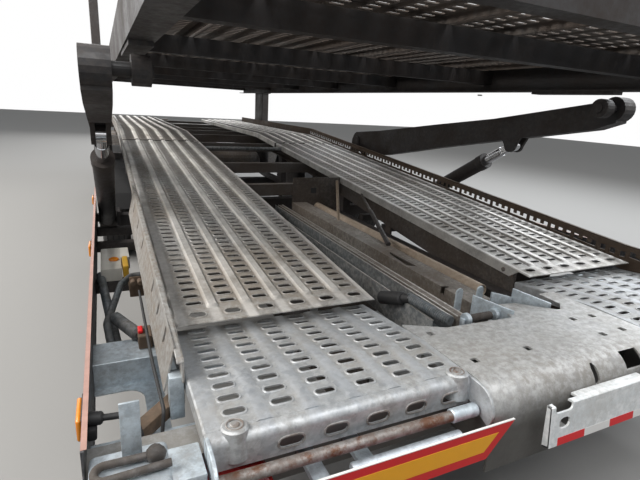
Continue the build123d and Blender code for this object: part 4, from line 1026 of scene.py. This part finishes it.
def pans():
    """Folded pans inside the skirts with their rounded opening, and the brackets further forward."""
    low, high, sheet = 0.4133, 0.500, 0.004
    inner, outer = KERB_X + 0.022, SKIRT_X - 0.0033
    pan = block("rear_pan", (inner, -0.455, low), (outer, 0.230, low + sheet), 0.001)
    cut(pan, block("pan cutter", (inner + 0.055, -0.18, 0.30), (outer + 0.1, 0.04, 0.50), 0.05, 5))
    ribs = []
    for start, end in ((-0.340, -0.280), (0.070, 0.200)):
        shape = [(start, low), (start, high), (end, high), (end, low), (end - sheet, low),
                 (end - sheet, high - sheet), (start + sheet, high - sheet), (start + sheet, low)]
        ribs.append(side_plate("pan_rib", shape, (BEAM_SIDE, outer), 0.0015))
    hangers = [block("skirt_hanger", (BEAM_SIDE, s, low), (outer, s + 0.060, low + 0.050), 0.004)
               for s in (0.830, 1.440, 1.770, 2.150)]
    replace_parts(pan, "skirt_brackets")
    both_sides("fitting zinc", join("rear_pan", pan, *ribs))
    both_sides("dark steel", join("skirt_hangers", *hangers))
    brace = bar("corner_brace", (1.190, -0.320, 0.520), (1.062, -0.190, 0.520), 0.036, 0.036, 0.003)
    post = block("kerb_post", (KERB_X - 0.001, -0.262, 0.505), (KERB_X + 0.034, -0.222, 0.622), 0.003)
    both_sides("brown steel", brace)
    both_sides("fitting zinc", post)


def guard():
    """Underrun guard: leaning plate with a striped lower edge, an oblong hole and the flat bar above."""
    left, right = -0.23, 0.64
    face = [(-0.625, 0.580), (-0.6385, 0.580), (-0.641, 0.5775), (-0.655, 0.470), (-0.633, 0.462),
            (-0.632, 0.468), (-0.649, 0.474), (-0.636, 0.574), (-0.625, 0.574)]
    plate = side_plate("guard_bar", face, (left, right), 0.001)
    hole = upright_slot("hole cutter", -0.178, -0.70, 0.530, (0.042, 0.030), 0.08)
    notch = block("notch cutter", (-0.215, -0.70, 0.560), (-0.150, -0.62, 0.62), 0.012, 3)
    cut(plate, hole, notch)
    closing = [(-0.625, 0.580), (-0.641, 0.580), (-0.655, 0.470), (-0.633, 0.462)]
    end = side_plate("guard_end", closing, (left, left + 0.005), 0.001)
    feet = [block("guard_foot", (x - 0.02, -0.650, 0.462), (x + 0.02, -0.6003, 0.492), 0.003)
            for x in (-0.150, 0.180)]
    flat = block("guard_flat", (-0.106, -0.632, 0.564), (0.178, -0.6002, 0.572), 0.0015)
    whole = join("underrun_guard_plate", plate, end, *feet, flat)
    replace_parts(whole, "underrun_guard")
    dress(smooth(whole, 30), "guard zinc")
    # Stripes along the lower edge
    first, length, count = -0.200, 0.104, 8
    low = Vector((0, -0.6552, 0.4705))
    high = low + Vector((0, 0.014, 0.110)).normalized() * 0.022
    stripes = {"white tape": [], "board red": []}
    for k in range(count):
        near = Vector((first + k * length, 0, 0))
        far = near + Vector((length, 0, 0))
        kind = "white tape" if k % 2 else "board red"
        stripes[kind].append(outline("guard stripe", [low + near, low + far, high + far, high + near],
                                     (0, 0.001, 0), 0))
    for kind, parts in stripes.items():
        dress(join("guard_stripes_" + kind.split()[0], *parts), kind)


def kerbs():
    """Walls beside the runways, with groups of three joined windows, and the left one's leaning sheet."""
    sheet, flange = 0.005, 0.018
    fall = math.tan(SLOPE)
    level = deck_z(BEND)
    top = [(-0.279, 0.672), (-0.272, 0.680), (-0.050, 0.710), (0, 0.710), (BEND, level + 0.070),
           (KERB_FRONT, level + 0.070)]
    foot = [(KERB_FRONT, level - 0.050), (BEND, level - 0.050), (0, 0.590), (-0.200, 0.590), (-0.279, 0.615)]
    wall = side_plate("kerb wall", top + foot, (KERB_X, KERB_X + sheet), 0.0008)
    # Windows in threes, their upper parts parted by hanging teeth
    width, gap, lift, rise, tooth = 0.028, 0.0225, 0.008, 0.028, 0.009
    comb = []
    for k in range(3):
        low_s = k * (width + gap)
        comb.append((low_s, lift + rise))
        if k < 2:
            comb += [(low_s + width, lift + rise), (low_s + width, lift + tooth),
                     (low_s + width + gap, lift + tooth)]
        else:
            comb += [(low_s + width, lift + rise), (low_s + width, lift), (0, lift)]
    comb = [(s, z + s * fall) for s, z in comb]
    reach = (KERB_X - 0.01, KERB_X + sheet + 0.01)

    def window(shape, station):
        return side_plate("window", [(station + s, deck_z(max(station, 0)) + z) for s, z in shape], reach, 0)

    pitch = 0.149
    cutters = [repeat(window(comb, 0.162), 25, (0, pitch, pitch * fall)), window(comb, 0.008 - pitch)]
    single = [(0, lift + 0.002), (0, lift + rise + 0.001), (width, lift + rise + 0.001),
              (width, lift + 0.002)]
    cutters += [window(single, s) for s in (0.008, 0.059, 0.110)]
    cut(wall, *cutters)
    cap = side_plate("kerb cap", top + [(s, z - sheet) for s, z in reversed(top)],
                     (KERB_X, KERB_X + flange), 0.0012)
    right = join("kerb_right_wall", wall, cap)
    left = flipped(right, "kerb_left_wall")
    root = KERB_X + flange
    section = [(root - 0.001, 0.070), (root + 0.027, -0.050), (root + 0.023, -0.050), (root - 0.005, 0.066)]
    stations = [(-0.235, 0.622), (-0.050, 0.640), (0, 0.640), (1.200, deck_z(1.2))]
    legs = [outline("leg", [(-x, s0, z0 + z) for x, z in section], (0, s1 - s0, z1 - z0), 0)
            for (s0, z0), (s1, z1) in zip(stations, stations[1:])]
    leg = weld(join("kerb_leg", *legs))
    slots = [block("leg cutter", (-root - 0.018, s, deck_z(s) + 0.010),
                   (-root - 0.002, s + 0.022, deck_z(s) + 0.060), 0.004)
             for s in (-0.13, 0.02, 0.17, 0.55, 0.78, 1.02)]
    dress(smooth(cut(leg, *slots), 30), "kerb sheet")
    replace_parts(right, "kerb_right")
    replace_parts(left, "kerb_left")
    # The right kerb gets the dark finish as painted shade
    dress(smooth(right, 30), "black kerb")
    dress(smooth(left, 30), "kerb sheet")


# Centre bay

def bay():
    """Channel, open tube and two stowed ramp rails between the runways, and the tie bar."""
    sheet, top, width = 0.006, 0.600, 0.110
    section = [(0, BAY_SEAT), (0, top), (width, top), (width, BAY_SEAT), (width - sheet, BAY_SEAT),
               (width - sheet, top - sheet), (sheet, top - sheet), (sheet, BAY_SEAT)]
    channel = along("bay_channel", section, -0.095, BAY_FRONT, 0.0012)
    above, through = top + 0.02, (0, 0, -0.05)
    hole = outline("channel hole", [(0.012, 0.33, above), (0.032, 0.50, above), (0.050, 0.52, above),
                                    (0.052, 0.30, above)], through, 0)
    small = outline("small hole", [(0.009 + a, 0.061 + b, above) for a, b in oblong(0.040, 0.022)],
                    through, 0)
    cut(channel, hole, small)
    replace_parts(channel, "centre_members")
    dress(smooth(channel, 30), "bay grey")
    tube_x, tube_z = 0.200, 0.565
    tube = rod("bay_tube", (tube_x, 0.050, tube_z), (tube_x, BAY_FRONT, tube_z), 0.028, 32, 0)
    bore = rod("bore", (tube_x, 0.040, tube_z), (tube_x, 0.400, tube_z), 0.0235, 32, 0)
    dress(smooth(soften(cut(tube, bore), 0.001, 1), 30), "tan paint")
    wall, rail_top, rear = 0.005, 0.585, -0.150
    low_x, high_x, floor_z = -0.215, -0.125, 0.520
    section = [(low_x, BAY_SEAT), (high_x, BAY_SEAT), (high_x, rail_top), (high_x - wall, rail_top),
               (high_x - wall, floor_z), (low_x + 0.040, floor_z), (low_x + wall, rail_top - 0.012),
               (low_x + wall, rail_top), (low_x, rail_top)]
    dress(smooth(along("bay_rail_left", section, rear, BAY_FRONT), 30), "rail steel")
    section = [(-0.108, BAY_SEAT), (-0.072, BAY_SEAT), (-0.072, rail_top), (-0.108, rail_top)]
    dress(smooth(along("bay_rail_right", section, rear, BAY_FRONT, 0.002), 30), "bay grey")
    strips = [block("edge strip", (x, rear, rail_top - 0.001),
                    (x + 0.0055, BAY_FRONT - 0.002, rail_top + 0.0022), 0.0008)
              for x in (low_x - 0.0003, high_x - wall - 0.0003, -0.1083, -0.0773)]
    dress(smooth(join("bay_rail_edges", *strips)), "worn steel")
    reach = RUNWAY_INNER - 0.0003
    tie_s = 3.0
    dress(cross_rod("tie_bar", (-reach, reach), tie_s, deck_z(tie_s) - FLANGE + 0.017, 0.015, 24, 0.002),
          "rail steel")


def bay_fittings():
    """Rollers, gussets and tabs at the bay's rear end, and the strut, pipe and hose inside it."""
    discs = [cross_rod("disc", x, ROLLER_S, ROLLER_Z, radius, 28, 0.002)
             for x, radius in (((-0.134, -0.118), 0.0225), ((-0.006, 0.008), 0.0205))]
    axle = cross_rod("axle", (-0.145, 0.020), ROLLER_S, ROLLER_Z, 0.005, 16, 0.001)
    coil = ring("coil", (-0.108, ROLLER_S, ROLLER_Z), 0.0125, 0.0022, (0, math.pi / 2, 0))
    coil = repeat(coil, 20, (0.0046, 0, 0))
    dress(join("bay_rollers", *discs, axle), "fitting zinc")
    dress(coil, "iron grey")
    stands = [block("stand", (x, ROLLER_S - 0.010, 0.5775), (x + 0.008, ROLLER_S + 0.010, 0.612))
              for x in (-0.146, 0.012)]
    gussets = []
    # Each gusset's front and rear upper corner, and its thickness
    for (x0, s0, z0), (x1, s1, z1), push in (
            ((-0.041, -0.141, 0.655), (0.040, -0.259, 0.632), (0.006, 0.004, 0)),
            ((0.048, -0.143, 0.655), (0.134, -0.161, 0.632), (0.002, 0.007, 0)),
            ((0.146, -0.147, 0.660), (0.227, -0.255, 0.634), (0.006, 0.004, 0))):
        shape = [(x0, s0, z0), (x1, s1, z1), (x1, s1, 0.580), (x0, s0, 0.580)]
        gussets.append(outline("gusset", shape, push, 0.001))
    tabs = []
    half, foot, high = 0.016, 0.570, 0.660
    for x, s in ((-0.051, -0.088), (0.044, -0.093)):
        shape = [(x + half, foot)] + curve((x, high - half), half, 0, 180, 8) + [(x - half, foot)]
        tabs.append(along("tab", shape, s, s + 0.006, 0.0012))
    dress(smooth(join("bay_gussets", *gussets, *tabs, *stands), 30), "fitting zinc")
    foot, head = Vector((0.098, 0.612, 0.608)), Vector((0.3742, 1.390, 0.712))
    dress(rod("bay_strut", foot, foot.lerp(head, 0.58), 0.0125, 24, 0.002), "dark steel")
    dress(rod("bay_strut_rod", foot.lerp(head, 0.56), head, 0.0075, 16, 0.001), "iron grey")
    dress(pipe("bay_pipe", [(0.093, 1.169, 0.6003), (0.064, 1.169, 0.846)], 0.0085, 0.02), "tan paint")
    # Painted shade: a thin black plate stands for the shaded opening
    dress(block("bay_window", (0.140, 1.7120, 0.664), (0.182, 1.7139, 0.702), 0), "rubber")
    gaiter("bay_hose", (-0.206, 0.010, 0.6045), (-0.187, -0.205, 0.6045), 0.0150, 0.0036, 24)
    dress(block("bay_sill", (0.296, -0.100, BAY_SEAT), (0.3700, BAY_FRONT, 0.540), 0.003), "dark steel")
    joint = join("bay_joint", rod("joint", (-0.245, 0.130, 0.560), (-0.222, 0.020, 0.598), 0.026, 24, 0.006),
                 rod("joint", (-0.228, 0.045, 0.592), (-0.203, -0.004, 0.6045), 0.019, 24, 0.004))
    dress(smooth(joint), "rubber")
    shape = [(0.060, 0.600), (0.165, 0.608), (0.165, 0.650), (0.060, 0.642)]
    ear = side_plate("slope_ear", shape, (0.3788, 0.3838), 0.001)
    pin = cross_rod("slope_ear", (0.372, 0.390), 0.112, 0.622, 0.010, 16, 0.002)
    dress(smooth(join("slope_ear_set", ear, pin)), "rusty zinc")


def gaiter(name, start, end, radius, wire, count):
    """Ribbed hose of rings along a line, over a round core."""
    run = at(end) - at(start)
    bpy.ops.mesh.primitive_torus_add(major_radius=radius, minor_radius=wire, major_segments=20,
                                     minor_segments=8, location=at(start) + run / (2 * count),
                                     rotation=heading(run))
    rings = repeat(settle(named("rib")), count, run / count)
    core = rod("core", start, end, radius, 20, 0)
    return dress(smooth(join(name, rings, core), 60), "blue steel")


# Wheels

def around_hub(piece, count, station):
    """Copies turned about a wheel's axis."""
    only(piece)
    base = piece.name
    for k in range(count - 1):
        bpy.ops.object.duplicate(linked=False)
        bpy.ops.transform.rotate(value=2 * math.pi / count, orient_axis="X",
                                 center_override=at((0, station, TYRE_RADIUS)))
    copies = [o for o in bpy.data.objects if o.name.startswith(base)]
    return settle(join(base + "_set", *copies))


def both_halves(half):
    """Section from its left half."""
    return half + [(-x, radius) for x, radius in reversed(half)]


def wheels():
    """Twin rims with hand holes, nuts and a hub, and their tyres, at both axles on both sides."""
    station = AXLES[0]
    centre = (0, station, TYRE_RADIUS)
    seat, edge, flange, rim, well = 0.076, 0.088, 0.236, 0.222, 0.208
    section = both_halves([(-edge, well), (-edge, flange - 0.002), (0.003 - edge, flange),
                           (-seat - 0.002, rim + 0.004), (0.006 - seat, rim)])
    profile = [(middle + x, radius) for middle in (INNER_WHEEL, OUTER_WHEEL) for x, radius in section]
    # Disc and hub, outside and then inside
    web, drum = WHEEL_WEB, 0.792
    hub_face, bore_x, bore = web + 0.110, 1.102, 0.0457
    profile += [(web + 0.040, well), (web + 0.030, 0.204), (web + 0.016, 0.178), (web + 0.012, 0.166),
                (web + 0.012, 0.108), (web + 0.018, 0.103), (web + 0.100, 0.084), (hub_face, 0.076),
                (hub_face, 0.0), (bore_x, 0.0), (bore_x, bore), (drum, bore), (drum, 0.170),
                (drum + 0.005, 0.175), (drum + 0.108, 0.175), (drum + 0.113, 0.170), (web - 0.012, 0.135),
                (web - 0.012, 0.166), (web - 0.016, 0.178), (web - 0.030, 0.204), (web - 0.040, well)]
    rims = turned("rim", profile, centre)

    def on_web(name, start, end, out, *sizes):
        """Round bar through the disc, some way out from the hub."""
        return cross_rod(name, (web + start, web + end), station, TYRE_RADIUS + out, *sizes)

    cut(rims, around_hub(on_web("hand_hole", -0.06, 0.06, 0.186, 0.0165, 16, 0), 8, station))
    bolt_circle = 0.1375
    nut = on_web("nut", 0.0115, 0.032, bolt_circle, 0.016, 6, 0.002)
    stud = on_web("nut", 0.030, 0.044, bolt_circle, 0.009, 12, 0.001)
    nuts = around_hub(join("wheel_nut", nut, stud), 10, station)
    cap = on_web("hub_cap", 0.1095, 0.124, 0, 0.070, 32, 0.005)
    whole = smooth(join("wheel", rims, nuts, cap), 30)
    section = both_halves([(-0.0755, 0.2225), (-0.1015, 0.262), (-0.1018, 0.305), (-0.089, 0.342),
                           (-0.071, TYRE_RADIUS)])
    tyres = [turned("tyre", [(middle + x, radius) for x, radius in section], centre, 36)
             for middle in (INNER_WHEEL, OUTER_WHEEL)]
    tyres = join("tyre_pair", *tyres)
    for word, s in zip(("rear", "front"), AXLES):
        for piece, finish_name, node in ((whole, "wheel silver", "wheel"), (tyres, "tyre", "tyres")):
            right = moved(copy_of(piece, f"{node}_{word}_pair_right"), (0, s - station, 0))
            left = flipped(right, f"{node}_{word}_pair_left")
            for side, made in (("right", right), ("left", left)):
                dress(smooth(made, 35), finish_name, f"wheels_{word}_{side}")
                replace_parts(made, f"{node}_{word}_{side}")
    only(whole, tyres)
    bpy.ops.object.delete()


# Things along the sides

def left_side():
    """Lines, holder, small tank and blocks seen between the left skirt and the kerb."""
    floor_z = 0.4636
    bent = pipe("left_line", [(-BEAM_SIDE, 0.745, 0.520), (-1.128, 0.740, 0.520), (-1.172, 0.650, 0.520),
                              (-1.229, 0.305, 0.516), (-1.219, 0.222, 0.470), (-1.219, 0.216, 0.4176)],
                0.0125)
    broad = rod("left_tube", (-1.250, 0.885, 0.482), (-1.196, 0.205, 0.4360), 0.0175, 24, 0.004)
    tank = rod("left_tank", (-1.205, 0.340, 0.522), (-1.136, 0.178, 0.5215), 0.021, 24, 0.009)
    for piece in (bent, broad, tank):
        dress(smooth(piece), "blue steel")
    holder = join("left_holder", block("holder", (-1.246, 0.838, floor_z), (-1.160, 1.150, 0.524), 0.004),
                  block("holder", (-1.164, 0.990, floor_z), (-1.121, 1.150, 0.524), 0.004))
    dress(smooth(holder), "ivory plastic")
    dress(rod("left_lens", (-1.191, 0.958, 0.5235), (-1.191, 0.958, 0.533), 0.022, 24, 0.003), "amber lens")
    dress(block("left_spacer", (-1.156, 0.835, floor_z), (-1.132, 0.985, 0.532), 0.004), "yellow plastic")
    dress(block("left_block", (-1.140, 0.120, 0.5003), (-1.098, 0.198, 0.545), 0.004), "brown steel")
    dress(block("left_tag", (-1.139, 0.140, 0.5448), (-1.124, 0.178, 0.556), 0.003), "board red")
    lugs = [rod("lug", (x, 0.60, 0.535), (x, 0.64, 0.535), 0.011, 20, 0.002) for x in (-1.10, -1.126)]
    plate = block("lug", (-1.14, 0.636, floor_z), (-1.085, 0.6425, 0.552))
    foot = block("lug", (-1.14, 0.6365, floor_z), (-1.085, 0.850, 0.470))
    dress(smooth(join("left_lugs", *lugs, plate, foot)), "brown steel")
    lead = pipe("kerb_lead", [(-1.116, 0.40, 0.585), (-1.118, -0.10, 0.578), (-1.112, -0.30, 0.568),
                              (-1.122, -0.325, 0.5003)], 0.0045, 0.02, 10, 4)
    dress(lead, "rubber")


def sides():
    """Side marker lamps, tape and bolts on the skirts, and box doors."""
    lenses, bases = [], []
    for s in (-0.350, 0.900, 2.000):
        bases.append(block("lamp_base", (1.2753, s, 0.560), (1.2795, s + 0.100, 0.620), 0.0015))
        lenses.append(block("lamp_lens", (1.2790, s + 0.005, 0.564), (1.2900, s + 0.095, 0.616), 0.005, 3))
    lens = join("side_lamp_lens", *lenses)
    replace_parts(lens, "side_lamps")
    both_sides("amber lens", lens)
    both_sides("rubber", join("side_lamp_base", *bases))
    both_sides("faded tape", block("skirt_tape", (1.264, -0.465, 0.6381), (1.2748, 2.255, 0.6388), 0))
    bolts = [cross_rod("skirt_bolt", (1.2750, 1.2790), s, 0.45, 0.009, 6, 0.001)
             for s in (-0.30, 0.10, 0.86, 1.47, 1.80, 2.18)]
    both_sides("iron grey", join("skirt_bolts", *bolts))
    start = 4.80
    for word, side, end in (("right", 1, 5.72), ("left", -1, 5.52)):
        door = block("box_door", (side * 1.2352, start, 0.492), (side * 1.2392, end, 0.786), 0.0015)
        latches = [block("latch", (side * 1.2390, s, 0.62), (side * 1.2470, s + 0.05, 0.70), 0.003)
                   for s in (start + 0.10, end - 0.15)]
        hinge = rod("hinge", (side * 1.2400, start + 0.02, 0.790), (side * 1.2400, end - 0.02, 0.790),
                    0.006, 12, 0.001)
        dress(smooth(join("box_door_" + word, door, hinge)), "frame grey")
        dress(smooth(join("box_latches_" + word, *latches)), "fitting zinc")


def drawbar_fittings():
    """Couplings, socket and their lines on the drawbar, and the jack leg's crank."""
    top = 0.5703
    head_z, line_z = top + 0.105, top + 0.0095
    stand = block("coupling_stand", (-0.075, 8.10, top), (0.075, 8.112, top + 0.140), 0.003)
    dress(smooth(stand), "fitting zinc")
    for name, x, finish_name in (("supply", -0.045, "coupling red"), ("service", 0.045, "yellow plastic")):
        head = rod("coupling_" + name, (x, 8.1125, head_z), (x, 8.150, head_z), 0.022, 20, 0.004)
        dress(head, finish_name)
        line = pipe("line_" + name, [(x, 8.0995, head_z), (x, 8.04, head_z), (x, 8.00, line_z),
                                     (x, 7.30, line_z)], 0.009, 0.03, 12, 5)
        dress(line, "hose")
    plug = rod("coupling_plug", (0, 8.1125, top + 0.050), (0, 8.160, top + 0.050), 0.020, 24, 0.004)
    dress(plug, "rubber")
    crank_s = 7.72
    crank = pipe("jack_crank", [(-0.1953, crank_s, 0.840), (-0.260, crank_s, 0.840), (-0.260, crank_s, 0.690),
                                (-0.330, crank_s, 0.690)], 0.008, 0.016, 12, 5)
    dress(crank, "fitting zinc")


def deck_fittings():
    """Pale caps under the upper deck and bolts on the lift arms."""
    caps = [rod("deck_cap", (x, 1.174, 1.4058), (x, 1.174, 1.398), 0.016, 24, 0.003) for x in (-1.090, 1.090)]
    dress(join("deck_caps", *caps), "ivory plastic", "upper_deck")
    for word, side in (("right", 1), ("left", -1)):
        bolts = [cross_rod("arm_bolt", (side * 1.2468, side * 1.2520), s, z, 0.013, 6, 0.0015)
                 for s, z in ((0.45, 1.30), (0.55, 1.282), (2.60, 0.975), (2.70, 0.962))]
        dress(join("arm_bolts_" + word, *bolts), "iron grey", "arm_" + word)


for build in (runways, planks, lip, boards, bay, bay_fittings, wheels, left_side, sides, drawbar_fittings,
              deck_fittings, corners, pans, guard, kerbs):
    build()

# CAD nodes and their finishes
coat("cover sheet", "rear_crossbeam")
coat("fitting zinc", "towing_eye")
coat("dark steel", "upper_deck_frame", "upper_carriages", "lift_arm_left", "lift_arm_right",
     "lift_barrel_left", "lift_barrel_right", "front_post_left", "front_post_right", "axle_front",
     "axle_rear", "suspension", "arm_brackets", "cylinder_brackets")
coat("chassis paint", "chassis_frame")
coat("frame grey", "drawbar", "jack_leg", "toolbox", "hydraulic_unit", "air_tank")
coat("skirt paint", "side_skirt_left", "side_skirt_right")
coat("chrome", "lift_rod_left", "lift_rod_right")
coat("red lens", "rear_lamps")
coat("rubber", "mudguards")


# Stage, camera and lamps

def stage():
    """Pale floor, darker in the light that it gives back than as the camera sees it."""
    bpy.ops.mesh.primitive_plane_add(size=60, location=(0, 0, -0.001))
    floor = named("studio_floor")
    tree, shader = finish("studio floor", None, 0.0, 0.8)[:2]
    path = add(tree, "ShaderNodeLightPath").outputs
    floor_tone = mix(tree, path["Is Camera Ray"], rgb((0.15, 0.148, 0.145)), rgb((0.32, 0.316, 0.308)))
    feed(tree, shader["Base Color"], floor_tone)
    floor.data.materials.append(finishes["studio floor"])


def surround():
    """White seen by the camera and in gloss, and a plain grey light elsewhere."""
    world = bpy.data.worlds.new("studio surround")
    bpy.context.scene.world = world
    world.use_nodes = True
    tree = world.node_tree
    light = tree.nodes["Background"]
    light.inputs["Color"].default_value = rgb((0.86, 0.93, 1.0))
    light.inputs["Strength"].default_value = 0.14
    white = add(tree, "ShaderNodeBackground", [("Color", WHITE), ("Strength", 1.0)])
    path = add(tree, "ShaderNodeLightPath").outputs
    seen = calc(tree, "MAXIMUM", path["Is Camera Ray"], path["Is Glossy Ray"])
    seen = calc(tree, "MAXIMUM", seen, path["Is Transmission Ray"])
    both = add(tree, "ShaderNodeMixShader", [(0, seen), (1, light.outputs[0]), (2, white.outputs[0])])
    tree.links.new(both.outputs[0], tree.nodes["World Output"].inputs["Surface"])


def lamp(name, place, target, size, power, colour=(1, 1, 1)):
    aim = (Vector(target) - Vector(place)).to_track_quat("-Z", "Y").to_euler()
    bpy.ops.object.light_add(type="AREA", location=place, rotation=aim)
    light = bpy.context.object
    light.name = name
    light.data.shape = "RECTANGLE"
    light.data.size, light.data.size_y = size
    light.data.energy = power
    light.data.color = colour


def lamps():
    lamp("left softbox", (-6.2, -2.0, 5.6), (0, -1.5, 0.8), (9, 3.5), 900, (1.0, 0.97, 0.93))
    lamp("right softbox", (6.2, -1.5, 5.6), (0, -1.5, 0.8), (9, 3.5), 640, (0.93, 0.965, 1.0))
    lamp("rear softbox", (-0.3, -7.6, 6.8), (0, -4.4, 0.6), (5, 3.5), 330)
    lamp("front softbox", (0.5, 10.0, 4.5), (0, 2.0, 1.0), (6, 3.5), 300)


def camera():
    """The photograph's viewpoint: its place, the directions of its axes and its lens."""
    right = Vector((0.9063, -0.4188, 0.0576))
    up = Vector((0.0676, 0.2780, 0.9582))
    back = Vector((-0.4172, -0.8645, 0.2802))
    bpy.ops.object.camera_add()
    view = bpy.context.object
    view.name = "photo_view"
    axes = Matrix((right, up, back)).transposed().to_4x4()
    view.matrix_world = Matrix.Translation(at((-1.198, -1.260, 1.266))) @ axes
    view.data.sensor_width = 36
    view.data.lens = 25.585
    view.data.clip_start, view.data.clip_end = 0.02, 200
    bpy.context.scene.camera = view


stage()
surround()
lamps()
camera()
bpy.context.scene.view_settings.view_transform = "Standard"
